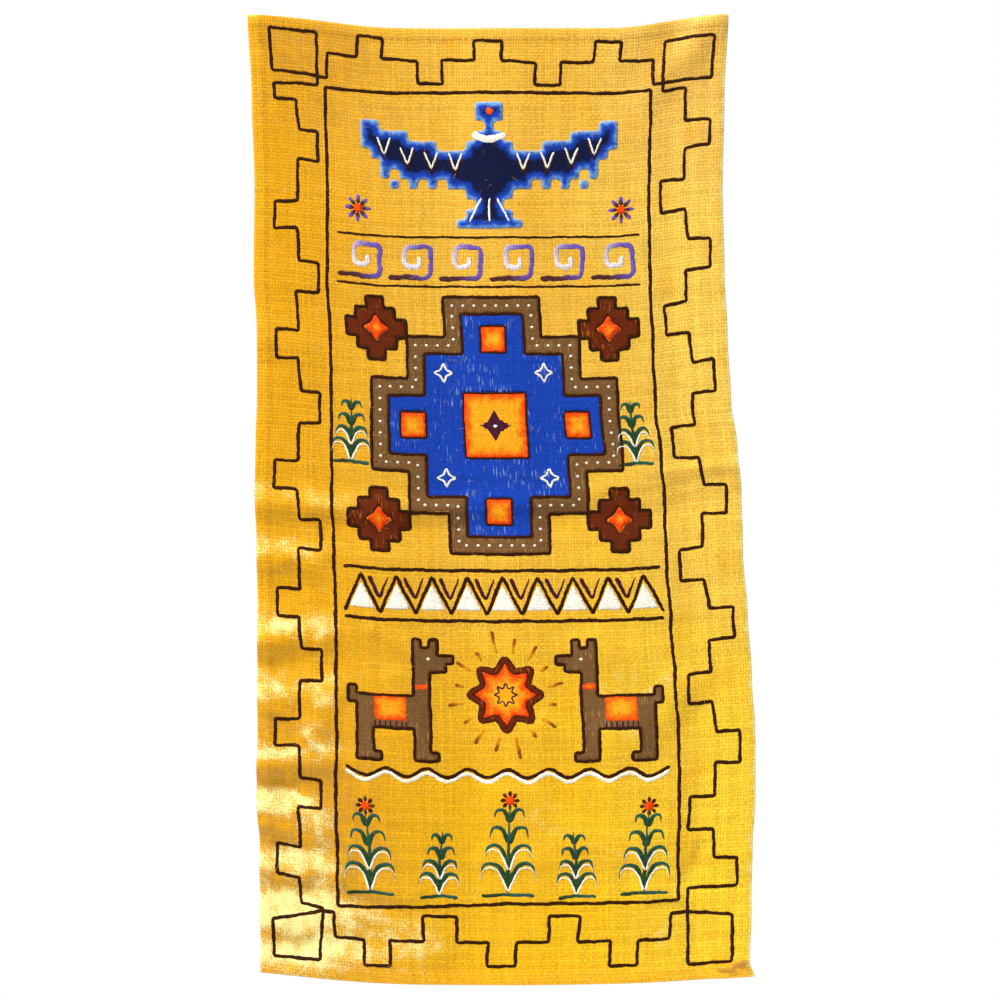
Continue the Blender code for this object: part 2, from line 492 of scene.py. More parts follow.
        face = halves(index[:-1, :-1], index[1:, :-1], index[1:, 1:], index[:-1, 1:])
        rims = [rim(index[0]), rim(index[-1, ::-1]), rim(index[::-1, 0]), rim(index[:, -1])]
        faces = np.concatenate([face, face[:, ::-1] + count, *rims])
        places = np.concatenate([self.front.reshape(-1, 3), back.reshape(-1, 3)])
        flat = np.stack([u * self.flat_width, v * self.flat_length], axis=-1)
        flat = np.concatenate([flat.reshape(-1, 2)] * 2) * MM
        # Point attributes for the material: painted sheen, and painted shade with some soil
        looks = {"polish": self.painted_sheen_share(u, v), "soil": self.marked(u, v, self.shaded_and_soiled)}
        hidden = np.zeros(count)
        values = {name: np.concatenate([grid.reshape(-1), hidden]) for name, grid in looks.items()}
        cloth = new_piece("cloth_panel", places, faces, material, flat, values)
        cloth.data.set_sharp_from_angle(angle=math.radians(self.sharp_degrees))
        return cloth

    def painted_sheen_share(self, u: np.ndarray, v: np.ndarray) -> np.ndarray:
        """How far the face is painted pale as a painted highlight: in the sheen marks, where folds face
        up towards the light, and as a painted glow along the right edge.

        Args:
            u: Shares of the width.
            v: Shares of the length.

        Returns:
            Shares of full painted sheen.
        """
        # Painted highlight: in the crumpled lower left, folds that face up and to the left, towards the
        # key lamp, are painted pale
        upward = self.normals[..., 2] * self.upward_share
        upward = upward - self.normals[..., 0] * self.leftward_share
        crumpled = risen(v, self.crumpled_down) * (1.0 - risen(u, self.plain_across))
        facing = self.fold_sheen * risen(upward, self.faces_up) * crumpled
        turned_up = 0.2 + 0.8 * risen(upward, self.turns_up)
        # The sheen marks are painted highlights too, held back where the cloth faces down
        polish = np.maximum(facing, self.marked(u, v, self.sheen_marks) * turned_up)
        for _ in range(self.sheen_spread):
            wide = np.pad(polish, 1, mode="edge")
            beside = wide[:-2, 1:-1] + wide[2:, 1:-1] + wide[1:-1, :-2] + wide[1:-1, 2:]
            polish = (beside + polish * 2.0) / 6.0
        # Painted glow: the last few millimetres of the right edge are painted pale, as light wrapping
        # round it
        inwards = (1.0 - u) * self.flat_width
        return np.maximum(polish, self.edge_glow * (1.0 - risen(inwards, self.right_glow_span)))

    def marked(self, u: np.ndarray, v: np.ndarray, marks: Sequence[Mark]) -> np.ndarray:
        """How strong some soft-edged marks are at each point.

        Args:
            u: Shares of the width.
            v: Shares of the length.
            marks: The marks.

        Returns:
            The strongest mark's share at each point.
        """
        total = np.zeros_like(u)
        for mark in marks:
            x = (u * self.flat_width - mark.across) / mark.half_wide
            y = (v * self.flat_length - mark.down) / mark.half_high
            near = 1.0 - smooth((np.hypot(x, y) - 0.55) / 0.75)
            total = np.maximum(total, mark.share * near)
        return total


def new_piece(
    name: str,
    places: np.ndarray,
    faces: np.ndarray | Sequence[Sequence[int]],
    material: Material,
    flat: np.ndarray | None = None,
    attributes: dict[str, np.ndarray] | None = None,
) -> Object:
    """Makes a mesh object with its outward faces, cloth UVs and point attributes.

    Args:
        name: The piece's name.
        places: Vertices in metres, as rows.
        faces: Vertex indices of each face.
        material: What the piece is made of.
        flat: Each vertex's flat place in metres, for the weave.
        attributes: Values for each vertex, by attribute name.

    Returns:
        The new object, linked to the scene.
    """
    mesh = bpy.data.meshes.new(name)
    mesh.from_pydata(places.tolist(), [], [list(map(int, f)) for f in faces])
    mesh.update()
    shape = bmesh.new()
    shape.from_mesh(mesh)
    bmesh.ops.recalc_face_normals(shape, faces=shape.faces)
    shape.to_mesh(mesh)
    shape.free()
    if flat is not None:
        corners = np.empty(len(mesh.loops), np.int32)
        mesh.loops.foreach_get("vertex_index", corners)
        mesh.uv_layers.new(name="weave")
        mesh.uv_layers["weave"].data.foreach_set("uv", flat[corners].reshape(-1))
    for label, values in (attributes or {}).items():
        layer = mesh.attributes.new(label, "FLOAT", "POINT")
        layer.data.foreach_set("value", np.asarray(values, np.float32))
    mesh.shade_smooth()
    mesh.materials.append(material)
    piece = bpy.data.objects.new(name, mesh)
    bpy.context.scene.collection.objects.link(piece)
    return piece


# Finishes

Colour = tuple[float, float, float, float]
Value = NodeSocket | float | tuple
Sockets = Mapping[str, NodeSocket]

# Features to the metre of the jute's fibres and of the grain that paint and wear take
FIBRES = 760.0
GRAIN = 520.0

# Named sockets that hold something other than a plain number
SOCKET_KINDS = {
    "Place": "Vector",
    "Color": "Color",
    "Geometry": "Geometry",
    "Seed": "Int",
    "Material": "Material",
}


def seen(red: int, green: int, blue: int) -> Colour:
    """A colour as the eye reads it, in steps of 255, made linear for a shader.

    Args:
        red: Its red.
        green: Its green.
        blue: Its blue.

    Returns:
        The linear colour, opaque.
    """
    steps = (channel / 255.0 for channel in (red, green, blue))
    linear = [c / 12.92 if c <= 0.04045 else ((c + 0.055) / 1.055) ** 2.4 for c in steps]
    return (*linear, 1.0)


class Graph:
    """A node tree under construction, with a short call for each kind of node."""

    def __init__(self, tree: NodeTree) -> None:
        """Keeps the tree."""
        self.tree = tree

    def node(self, kind: str, fed: dict[str | int, Value] | None = None, **settings: object) -> Node:
        """Adds a node.

        Args:
            kind: Its type.
            fed: What its inputs are given, by their names or numbers.
            settings: Its properties.

        Returns:
            The node.
        """
        made = self.tree.nodes.new(kind)
        for label, value in settings.items():
            setattr(made, label, value)
        for label, value in (fed or {}).items():
            self.feed(made.inputs[label], value)
        return made

    def feed(self, socket: NodeSocket, value: Value) -> None:
        """Links a socket to another one, or gives it a plain value.

        Args:
            socket: What is fed.
            value: Another socket or a value.
        """
        if isinstance(value, NodeSocket):
            self.tree.links.new(value, socket)
        else:
            socket.default_value = value[:3] if socket.type == "VECTOR" else value

    def math(self, operation: str, *values: Value, clamp: bool = False) -> NodeSocket:
        """A Math node of one operation on one, two or three values."""
        fed = dict(enumerate(values))
        return self.node("ShaderNodeMath", fed, operation=operation, use_clamp=clamp).outputs[0]

    def times(self, value: Value, by: Value, plus: Value = 0.0, clamp: bool = False) -> NodeSocket:
        """A value times another one, plus a third."""
        return self.math("MULTIPLY_ADD", value, by, plus, clamp=clamp)

    def vector(self, operation: str, *values: Value) -> NodeSocket:
        """A Vector Math node of one operation."""
        fed = dict(enumerate(values))
        return self.node("ShaderNodeVectorMath", fed, operation=operation).outputs[0]

    def combined(self, x: Value, y: Value, z: Value = 0.0) -> NodeSocket:
        """A vector from three values."""
        return self.node("ShaderNodeCombineXYZ", {0: x, 1: y, 2: z}).outputs[0]

    def parted(self, vector: Value) -> tuple[NodeSocket, NodeSocket]:
        """The first two values of a vector."""
        made = self.node("ShaderNodeSeparateXYZ", {0: vector})
        return made.outputs[0], made.outputs[1]

    def ramp(
        self, value: Value, low: Value, high: Value, to_low: Value = 0.0, to_high: Value = 1.0
    ) -> NodeSocket:
        """Eases a value from one range to another.

        Args:
            value: What is eased.
            low: Where it starts to rise.
            high: Where it stops.
            to_low: The result at and below low.
            to_high: The result at and above high.

        Returns:
            The eased value.
        """
        fed = dict(enumerate((value, low, high, to_low, to_high)))
        return self.node("ShaderNodeMapRange", fed, interpolation_type="SMOOTHSTEP").outputs[0]

    def mixed(self, share: Value, first: Value, second: Value) -> NodeSocket:
        """Mixes two colours."""
        fed = {0: share, 6: first, 7: second}
        return self.node("ShaderNodeMix", fed, data_type="RGBA").outputs[2]

    def noise(self, place: Value, scale: float, detail: float = 2.0, part: str = "Fac") -> NodeSocket:
        """A noise over a flat place, at so many features to the metre."""
        fed = {"Vector": place, "Scale": scale, "Detail": detail}
        return self.node("ShaderNodeTexNoise", fed, noise_dimensions="2D").outputs[part]

    def picked(self, number: Value) -> NodeSocket:
        """A value from nought to one that is chance for each whole number."""
        made = self.node("ShaderNodeTexWhiteNoise", {"W": number}, noise_dimensions="1D")
        return made.outputs["Value"]

    def carried(self, name: str) -> NodeSocket:
        """The value that a piece's points carry under a name."""
        return self.node("ShaderNodeAttribute", attribute_name=name).outputs["Fac"]

    def group(self, tree: NodeTree, **values: Value) -> Sockets:
        """Places a group and feeds its inputs, whose names have _ for each space."""
        fed = {label.replace("_", " "): value for label, value in values.items()}
        return self.node("ShaderNodeGroup", fed, node_tree=tree).outputs


def new_group(
    name: str, inputs: Sequence[str], outputs: Sequence[str], tree_kind: str = "ShaderNodeTree"
) -> tuple[Graph, Sockets, Sockets]:
    """Starts a node group.

    Args:
        name: The group's name.
        inputs: The names of its input sockets.
        outputs: The names of its output sockets.
        tree_kind: Shader or geometry.

    Returns:
        Its graph, what it is given and what it puts out.
    """
    graph = Graph(bpy.data.node_groups.new(name, tree_kind))
    for way, labels in (("INPUT", inputs), ("OUTPUT", outputs)):
        for label in labels:
            kind = "NodeSocket" + SOCKET_KINDS.get(label, "Float")
            graph.tree.interface.new_socket(name=label, in_out=way, socket_type=kind)
    return graph, graph.node("NodeGroupInput").outputs, graph.node("NodeGroupOutput").inputs


@dataclass(frozen=True)
class Weave:
    """Plain weave of thick and thin jute threads, with their wander in metres."""

    ends_across: int = 168
    picks_down: int = 302
    wander: float = 0.002
    open_below: float = 0.56

    def group(self) -> NodeTree:
        """The weave's height, its open valleys and the tone of each thread.

        Returns:
            The node group.
        """
        g, given, out = new_group(
            "burlap_weave", ["Place", "End Pitch", "Pick Pitch"], ["Height", "Valley", "Tone"]
        )
        place = given["Place"]
        drift = g.vector("SUBTRACT", g.noise(place, 45.0, 1.0, "Color"), (0.5, 0.5, 0.5))
        drift = g.vector("MULTIPLY", drift, (self.wander,) * 3)
        x, y = g.parted(g.vector("ADD", place, drift))
        ends = g.math("DIVIDE", x, given["End Pitch"])
        picks = g.math("DIVIDE", y, given["Pick Pitch"])
        end, pick = g.math("FLOOR", ends), g.math("FLOOR", picks)

        def thread(along: Value, number: Value, across: Value, turn: float) -> NodeSocket:
            """Height of one set of threads, over and under the other set.

            Args:
                along: Threads of the other set passed on the way along.
                number: Which thread of this set.
                across: Threads of this set passed on the way across.
                turn: Nought for the set that starts on top, else one.

            Returns:
                The height.
            """
            aside = g.math("SUBTRACT", g.math("FRACT", across), 0.5)
            wave = g.math("ADD", g.math("SUBTRACT", along, 0.5 - turn), number)
            over = g.times(g.math("COSINE", g.times(wave, math.pi)), 0.5, 0.5)
            return g.times(g.math("COSINE", g.times(aside, math.pi)), over)

        def slubs(number: Value, along: Value) -> NodeSocket:
            """Tone of one thread, thick and thin along its length."""
            slow = g.noise(g.combined(g.times(number, 7.31), along), 0.09)
            return g.times(slow, 1.1, g.times(g.picked(number), 0.6, -0.35))

        end_height = thread(picks, end, ends, 0.0)
        pick_height = thread(ends, pick, picks, 1.0)
        height = g.math("MAXIMUM", end_height, pick_height)
        on_top = g.math("GREATER_THAN", end_height, pick_height)
        end_tone = slubs(end, picks)
        pick_tone = slubs(g.math("ADD", pick, 500.0), ends)
        tone = g.times(g.math("SUBTRACT", end_tone, pick_tone), on_top, pick_tone, clamp=True)
        rough = g.times(g.noise(place, 2600.0, 1.0), 0.16, height)
        g.feed(out["Height"], g.times(tone, 0.35, rough))
        g.feed(out["Valley"], g.ramp(height, 0.05, self.open_below, 1.0, 0.0))
        g.feed(out["Tone"], tone)
        return g.tree


@dataclass(frozen=True)
class Dye:
    """The yellow dye, deeper on the left and clearer at the lower right."""

    upper: Colour = seen(244, 187, 62)
    lower: Colour = seen(244, 189, 4)
    left: Colour = seen(231, 164, 0)
    right: Colour = seen(248, 208, 86)
    top_right: Colour = seen(243, 188, 88)
    low_right: Colour = seen(246, 210, 46)
    hem: Colour = seen(250, 180, 20)
    # Painted shade in the gaps between threads
    valley: Colour = seen(186, 108, 4)
    blotch: Colour = seen(246, 172, 4)
    width: float = 0.470
    length: float = 0.910

    def group(self) -> NodeTree:
        """The dyed cloth's colour from a place on it and its weave, with painted shade in the gaps
        between threads.

        Returns:
            The node group.
        """
        g, given, out = new_group("dyed_burlap", ["Place", "Tone", "Valley"], ["Color"])
        place = given["Place"]
        x, y = g.parted(place)
        unsure = g.times(g.noise(place, 7.0, 3.0), 0.5, -0.25)
        down = g.math("ADD", g.math("DIVIDE", y, self.length), unsure)
        across = g.times(unsure, 0.3, g.math("DIVIDE", x, self.width))
        reach = g.ramp(down, 0.50, 0.75, 0.46, 0.70)
        rightness = g.ramp(across, 0.62, 0.95, 0.0, 0.85)
        to_foot = g.ramp(y, self.length - 0.017, self.length - 0.010)
        hemmed = g.math("MAXIMUM", g.ramp(x, 0.015, 0.009), to_foot)
        colour = g.mixed(g.ramp(down, 0.30, 0.95), self.upper, self.lower)
        for share, tint in (
            (g.ramp(across, reach, 0.02, 0.0, 0.95), self.left),
            (g.times(rightness, g.ramp(down, 0.95, 0.25, 0.15, 1.0)), self.right),
            (g.times(rightness, g.ramp(down, 0.30, 0.06, 0.0, 0.8)), self.top_right),
            (g.times(rightness, g.ramp(down, 0.55, 0.85, 0.0, 0.8)), self.low_right),
            (g.times(hemmed, 0.65), self.hem),
            (g.ramp(g.noise(place, 26.0, 3.0), 0.52, 0.80, 0.0, 0.5), self.blotch),
        ):
            colour = g.mixed(share, colour, tint)
        bright = g.times(g.noise(place, FIBRES, 1.0), 0.70, 0.49)
        bright = g.times(given["Tone"], 0.40, bright)
        colour = g.vector("MULTIPLY", colour, g.combined(bright, bright, bright))
        # The weave's open valleys are painted darker, as painted shade in the hollows between threads
        uneven = g.ramp(g.noise(place, 190.0), 0.35, 0.65, 0.20, 0.75)
        g.feed(out["Color"], g.mixed(g.times(given["Valley"], uneven), colour, self.valley))
        return g.tree


@dataclass(frozen=True)
class Rub:
    """How paint takes on the weave: full on the threads, thin between them."""

    streaks: tuple[float, float, float] = (1.0, 0.12, 1.0)
    soft: float = 0.34

    def group(self) -> NodeTree:
        """How far the paint covers the cloth, from its dryness and its nearest edge.

        Returns:
            The node group.
        """
        g, given, out = new_group(
            "rubbed_paint", ["Place", "Height", "Edge", "Dryness", "Fade Width"], ["Cover", "Streak"]
        )
        place = given["Place"]
        fine = g.noise(g.vector("MULTIPLY", place, self.streaks), FIBRES, 1.0)
        often = g.ramp(g.noise(place, 22.0), 0.35, 0.65, 0.80, 0.62)
        g.feed(out["Streak"], g.ramp(fine, often, g.math("ADD", often, 0.10)))
        held = g.times(given["Height"], 0.55, 0.30)
        held = g.times(g.noise(place, GRAIN), 0.9, held)
        held = g.times(g.noise(place, 70.0), 0.35, held)
        held = g.math("SUBTRACT", held, g.times(given["Dryness"], 1.5, 0.28))
        faded = g.math("DIVIDE", given["Edge"], given["Fade Width"], clamp=True)
        faded = g.math("MINIMUM", g.times(faded, 1.4, -1.0), 0.0)
        g.feed(out["Cover"], g.ramp(g.math("ADD", held, faded), 0.0, self.soft))
        return g.tree


@dataclass(frozen=True)
class PaintFinish:
    """One paint of the maker's set, as it dries on burlap.

    Edge, middle and core are its colours from a mark's rim inwards, and end is that of
    the far end of a stroke that changes colour on its way. Widths are in metres.
    """

    slot: str
    core: Colour
    edge: Colour | None = None
    middle: Colour | None = None
    end: Colour | None = None
    streak: Colour | None = None
    rim: float = 0.004
    dryness: float = 0.0
    fade: float = 0.0004


class Paint(Enum):
    """The paints, each with its slot name."""

    BLACK = PaintFinish("black_paint", seen(54, 24, 0))
    BLUE = PaintFinish(
        "blue_paint",
        seen(22, 66, 178),
        seen(18, 42, 126),
        streak=seen(138, 162, 214),
        rim=0.003,
        dryness=0.02,
    )
    HALO = PaintFinish(
        "blue_paint", seen(14, 22, 60), seen(120, 170, 228), seen(24, 66, 178), rim=0.0105, fade=0.004
    )
    TAN = PaintFinish(
        "brown_paint", seen(124, 87, 48), seen(102, 68, 36), streak=seen(176, 138, 92), dryness=0.22
    )
    RUST = PaintFinish(
        "rust_paint", seen(104, 38, 6), seen(66, 22, 4), streak=seen(186, 112, 40), dryness=0.06
    )
    ORANGE = PaintFinish("orange_paint", seen(255, 172, 28), seen(250, 62, 4), rim=0.0115)
    GREEN = PaintFinish(
        "green_paint", seen(58, 98, 44), seen(34, 62, 38), end=seen(44, 92, 78), dryness=0.10
    )
    WHITE = PaintFinish("white_paint", seen(252, 247, 230), dryness=0.12)
    VIOLET = PaintFinish("violet_paint", seen(78, 42, 40), end=seen(112, 88, 176), dryness=0.16)
    LILAC = PaintFinish("violet_paint", seen(112, 88, 176), end=seen(236, 222, 226), dryness=0.3)
    PLUM = PaintFinish("plum_paint", seen(72, 26, 46), dryness=0.08)
    OCHRE = PaintFinish("ochre_paint", seen(226, 146, 22), end=seen(152, 78, 12), dryness=0.2)


@dataclass
class Finishes:
    """Every material of the hanging, made once and shared."""

    weave: Weave = Weave()
    dye: Dye = Dye()
    # The colour of the painted highlight, and that of the painted shade with some grime
    painted_highlight: Colour = seen(253, 244, 164)
    shade_and_grime: Colour = seen(184, 124, 46)
    glaze: Colour = seen(255, 236, 140)

    def __post_init__(self) -> None:
        """Builds the shared groups."""
        self.weave_group, self.dye_group = self.weave.group(), self.dye.group()
        self.rub_group = Rub().group()
        self.made: dict[str, Material] = {}

    def begin(self, name: str) -> tuple[Material, Graph, Sockets]:
        """Starts a material.

        Args:
            name: The material's name.

        Returns:
            The material, its graph and the inputs of its Principled BSDF.
        """
        material = bpy.data.materials.new(name)
        material.use_nodes = True
        tree = material.node_tree
        return material, Graph(tree), tree.nodes["Principled BSDF"].inputs

    def woven(self, g: Graph) -> tuple[NodeSocket, Sockets, NodeSocket]:
        """Places the weave and the dyed cloth in a material.

        Args:
            g: The material's graph.

        Returns:
            The flat place, what the weave puts out, and the dyed cloth's colour.
        """
        place = g.node("ShaderNodeUVMap", uv_map="weave").outputs["UV"]
        end_pitch = self.dye.width / self.weave.ends_across
        pick_pitch = self.dye.length / self.weave.picks_down
        weave = g.group(self.weave_group, Place=place, End_Pitch=end_pitch, Pick_Pitch=pick_pitch)
        dyed = g.group(self.dye_group, Place=place, Tone=weave["Tone"], Valley=weave["Valley"])
        return place, weave, dyed["Color"]

    def bumped(self, g: Graph, into: Sockets, height: Value, deep: float) -> None:
        """Raises a surface's detail by a Bump node, to a depth in metres."""
        bump = g.node("ShaderNodeBump", {"Strength": 1.0, "Distance": deep, "Height": height})
        g.feed(into["Normal"], bump.outputs["Normal"])

    def burlap(self) -> Material:
        """Dyed burlap with a slight glaze, painted pale and made smoother where it carries painted
        sheen, and painted darker where it carries painted shade and some soil.

        Returns:
            The cloth's material.
        """
        material, g, into = self.begin("dyed_burlap")
        place, weave, dyed = self.woven(g)
        sheen_marks, soil = g.carried("polish"), g.carried("soil")
        # Painted highlight: the sheen share, broken into patches and strongest on the thread tops,
        # mixes the cloth towards a pale colour
        patchy = g.noise(place, 75.0, 4.0)
        grain = g.ramp(g.noise(place, GRAIN), 0.30, 0.70, 0.1, 0.7)
        held = g.times(patchy, 2.3, g.times(sheen_marks, 1.3))
        held = g.times(weave["Height"], 0.3, g.math("ADD", held, grain))
        polish = g.times(g.ramp(held, 2.02, 3.35, 0.0, 0.92), g.ramp(sheen_marks, 0.0, 0.3, 0.25, 1.0))
        # Painted shade with some soil darkens the dye towards a brown
        broken = g.ramp(patchy, 0.30, 0.60, 0.25, 1.0)
        shaded_and_soiled = g.times(g.times(soil, broken), 0.5, clamp=True)
        g.feed(into["Base Color"], g.mixed(polish, g.mixed(shaded_and_soiled, dyed, self.shade_and_grime), self.painted_highlight))
        matte = g.ramp(g.noise(place, 9.0, 3.0), 0.35, 0.65, 0.40, 0.52)
        g.feed(into["Roughness"], g.times(polish, -0.12, matte))
        g.feed(into["Specular IOR Level"], 0.95)
        g.feed(into["Specular Tint"], self.glaze)
        self.bumped(g, into, weave["Height"], 0.00022)
        return material

    def thread(self) -> Material:
        """Yellow sewing thread, twisted and a little fuzzy.

        Returns:
            The thread's material.
        """
        material, g, into = self.begin("hem_thread")
        place = g.node("ShaderNodeTexCoord").outputs["Object"]
        fuzz = g.node("ShaderNodeTexNoise", {"Vector": place, "Scale": 2200.0}).outputs["Fac"]
        g.feed(into["Base Color"], g.mixed(fuzz, seen(214, 138, 30), seen(250, 196, 84)))
        g.feed(into["Roughness"], g.times(fuzz, 0.3, 0.5))
        self.bumped(g, into, fuzz, 0.0001)
        return material

    def paint(self, paint: Paint) -> Material:
        """The material of one paint, made on its first use.

        Args:
            paint: Which paint.

        Returns:
            Its material, which shares the cloth's weave.
        """
        if paint.name in self.made:
            return self.made[paint.name]
        finish = paint.value
        material, g, into = self.begin(f"{paint.name.lower()}_on_burlap")
        place, weave, dyed = self.woven(g)
        edge, mottle = g.carried("edge"), g.noise(place, 160.0, 3.0)
        colour: Value = finish.core
        if finish.edge is not None:
            inwards = g.math("ADD", edge, g.times(mottle, finish.rim * 0.7, finish.rim * -0.35))
            rim, first = finish.edge, 0.0
            if finish.middle is not None:
                first = finish.rim * 0.5
                rim = g.mixed(g.ramp(inwards, 0.0, first), rim, finish.middle)
            colour = g.mixed(g.ramp(inwards, first, finish.rim), rim, colour)
        if finish.end is not None:
            colour = g.mixed(g.ramp(g.carried("along"), 0.25, 0.75), colour, finish.end)
        bright = g.times(mottle, 0.30, g.times(weave["Tone"], 0.30, 0.15))
        bright = g.times(g.noise(place, FIBRES, 1.0), 1.1, bright)
        colour = g.vector("MULTIPLY", colour, g.combined(bright, bright, bright))
        rub = g.group(
            self.rub_group,
            Place=place,
            Height=weave["Height"],
            Edge=edge,
            Dryness=finish.dryness,
            Fade_Width=finish.fade,
        )
        cover = rub["Cover"]
        if finish.streak is not None:
            colour = g.mixed(g.times(rub["Streak"], 0.75), colour, finish.streak)
        g.feed(into["Base Color"], g.mixed(cover, dyed, colour))
        g.feed(into["Roughness"], g.ramp(cover, 0.0, 1.0, 0.55, 0.72))
        g.feed(into["Specular IOR Level"], 0.10)
        self.bumped(g, into, g.times(cover, 0.25, weave["Height"]), 0.00016)
        self.made[paint.name] = material
        return material


# Brushwork

def chance(seed: int) -> random.Random:
    """A source of chance that is the same on each run."""
    return random.Random(SEED * 1000 + seed)


def rounded(points: Sequence[FlatPoint], radius: float, closed: bool) -> np.ndarray:
    """Rounds the corners of a line, as a loaded brush does when it turns.

    Args:
        points: The line's corners in flat millimetres.
        radius: How far from each corner the turn starts.
        closed: Whether the last point joins the first.

    Returns:
        The line with each corner drawn as a small arc.
    """
    corners = [np.array(point, float) for point in points]
    count = len(corners)
    result = []
    for number, corner in enumerate(corners):
        if not closed and number in (0, count - 1):
            result.append(corner)
            continue
        before, after = corners[number - 1], corners[(number + 1) % count]
        back, onward = before - corner, after - corner
        reach = min(radius, 0.45 * np.linalg.norm(back), 0.45 * np.linalg.norm(onward))
        start = corner + back / max(np.linalg.norm(back), 1e-6) * reach
        stop = corner + onward / max(np.linalg.norm(onward), 1e-6) * reach
        for share in (0.0, 0.33, 0.67, 1.0):
            first = start + (corner - start) * share
            second = corner + (stop - corner) * share
            result.append(first + (second - first) * share)
    return np.array(result)


def resampled(line: np.ndarray, step: float, closed: bool) -> np.ndarray:
    """Spaces points evenly along a line.

    Args:
        line: Points in flat millimetres.
        step: The wanted space between them.
        closed: Whether the last point joins the first.

    Returns:
        The new points; a closed line's first isn't repeated.
    """
    if closed:
        line = np.concatenate([line, line[:1]])
    lengths = np.linalg.norm(np.diff(line, axis=0), axis=1)
    keep = np.concatenate([[True], lengths > 1e-6])
    line = line[keep]
    run = np.concatenate([[0.0], np.cumsum(lengths[lengths > 1e-6])])
    count = max(2, round(run[-1] / step))
    wanted = np.linspace(0.0, run[-1], count + 1)
    if closed:
        wanted = wanted[:-1]
    return np.stack([np.interp(wanted, run, line[:, k]) for k in (0, 1)], axis=1)


def curved(points: Sequence[FlatPoint], closed: bool = False, steps: int = 10) -> list[FlatPoint]:
    """Draws a smooth line through points.

    Args:
        points: What the line passes through, in flat millimetres.
        closed: Whether the last point joins the first.
        steps: Points for each stretch.

    Returns:
        The points of the smooth line.
    """
    given = [np.array(point, float) for point in points]
    count = len(given)
    spans = count if closed else count - 1
    line = []
    for number in range(spans):
        if closed:
            p = [given[(number + k) % count] for k in (-1, 0, 1, 2)]
        else:
            p = [given[min(max(number + k, 0), count - 1)] for k in (-1, 0, 1, 2)]
        for step in range(steps):
            t = step / steps
            even = p[0] * (-t + 2 * t**2 - t**3) + p[1] * (2 - 5 * t**2 + 3 * t**3)
            odd = p[2] * (t + 4 * t**2 - 3 * t**3) + p[3] * (t**3 - t**2)
            line.append(tuple((even + odd) / 2))
    if not closed:
        line.append(tuple(given[-1]))
    return line


def mirrored(points: Sequence[FlatPoint], middle: float) -> list[FlatPoint]:
    """Turns a line over across an upright middle line, keeping its direction of turn."""
    return [(2.0 * middle - x, y) for x, y in reversed(points)]


def inside(point: np.ndarray, loops: Sequence[np.ndarray]) -> np.ndarray:
    """Which points lie inside loops, where a loop within another is a hole.

    Args:
        point: Places as rows.
        loops: Closed lines.

    Returns:
        True for each place inside.
    """
    result = np.zeros(len(point), bool)
    x, y = point[:, 0], point[:, 1]
    for loop in loops:
        for a, b in zip(loop, np.roll(loop, -1, axis=0)):
            if a[1] == b[1]:
                continue
            crosses = (a[1] > y) != (b[1] > y)
            at = a[0] + (y - a[1]) / (b[1] - a[1]) * (b[0] - a[0])
            result ^= crosses & (x < at)
    return result


def to_lines(point: np.ndarray, loops: Sequence[np.ndarray]) -> np.ndarray:
    """Distance from each place to the nearest stretch of some closed lines.

    Args:
        point: Places as rows.
        loops: The lines.

    Returns:
        The distances.
    """
    nearest = np.full(len(point), np.inf)
    for loop in loops:
        for a, b in zip(loop, np.roll(loop, -1, axis=0)):
            run = b - a
            share = np.clip((point - a) @ run / max(run @ run, 1e-9), 0.0, 1.0)
            away = np.linalg.norm(point - a - share[:, None] * run, axis=1)
            nearest = np.minimum(nearest, away)
    return nearest


@dataclass(frozen=True)
class Brush:
    """How a painted line is laid: sizes in flat millimetres.

    Profile gives the places across the line, in shares of its half width, at which the
    paint's film bends.
    """

    width: float = 3.6
    turn: float = 1.7
    step: float = 1.5
    waver: float = 0.45
    swell: float = 0.13
    burr: float = 0.28
    taper: float = 0.0
    profile: tuple[float, ...] = (-1.0, -0.62, 0.62, 1.0)


LINE = Brush()
FINE = Brush(width=2.3, turn=1.6, waver=0.35)
BROAD = Brush(width=7.5, turn=3.0, waver=0.5, profile=(-1.0, -0.75, 0.0, 0.75, 1.0))
STROKE = Brush(width=4.4, turn=3.0, taper=0.75)
BLADE = Brush(width=5.6, turn=3.0, taper=0.8)
WISP = Brush(width=2.4, taper=0.9)
DOT = Brush(width=3.6, step=0.9, waver=0.0, swell=0.0, burr=0.1)


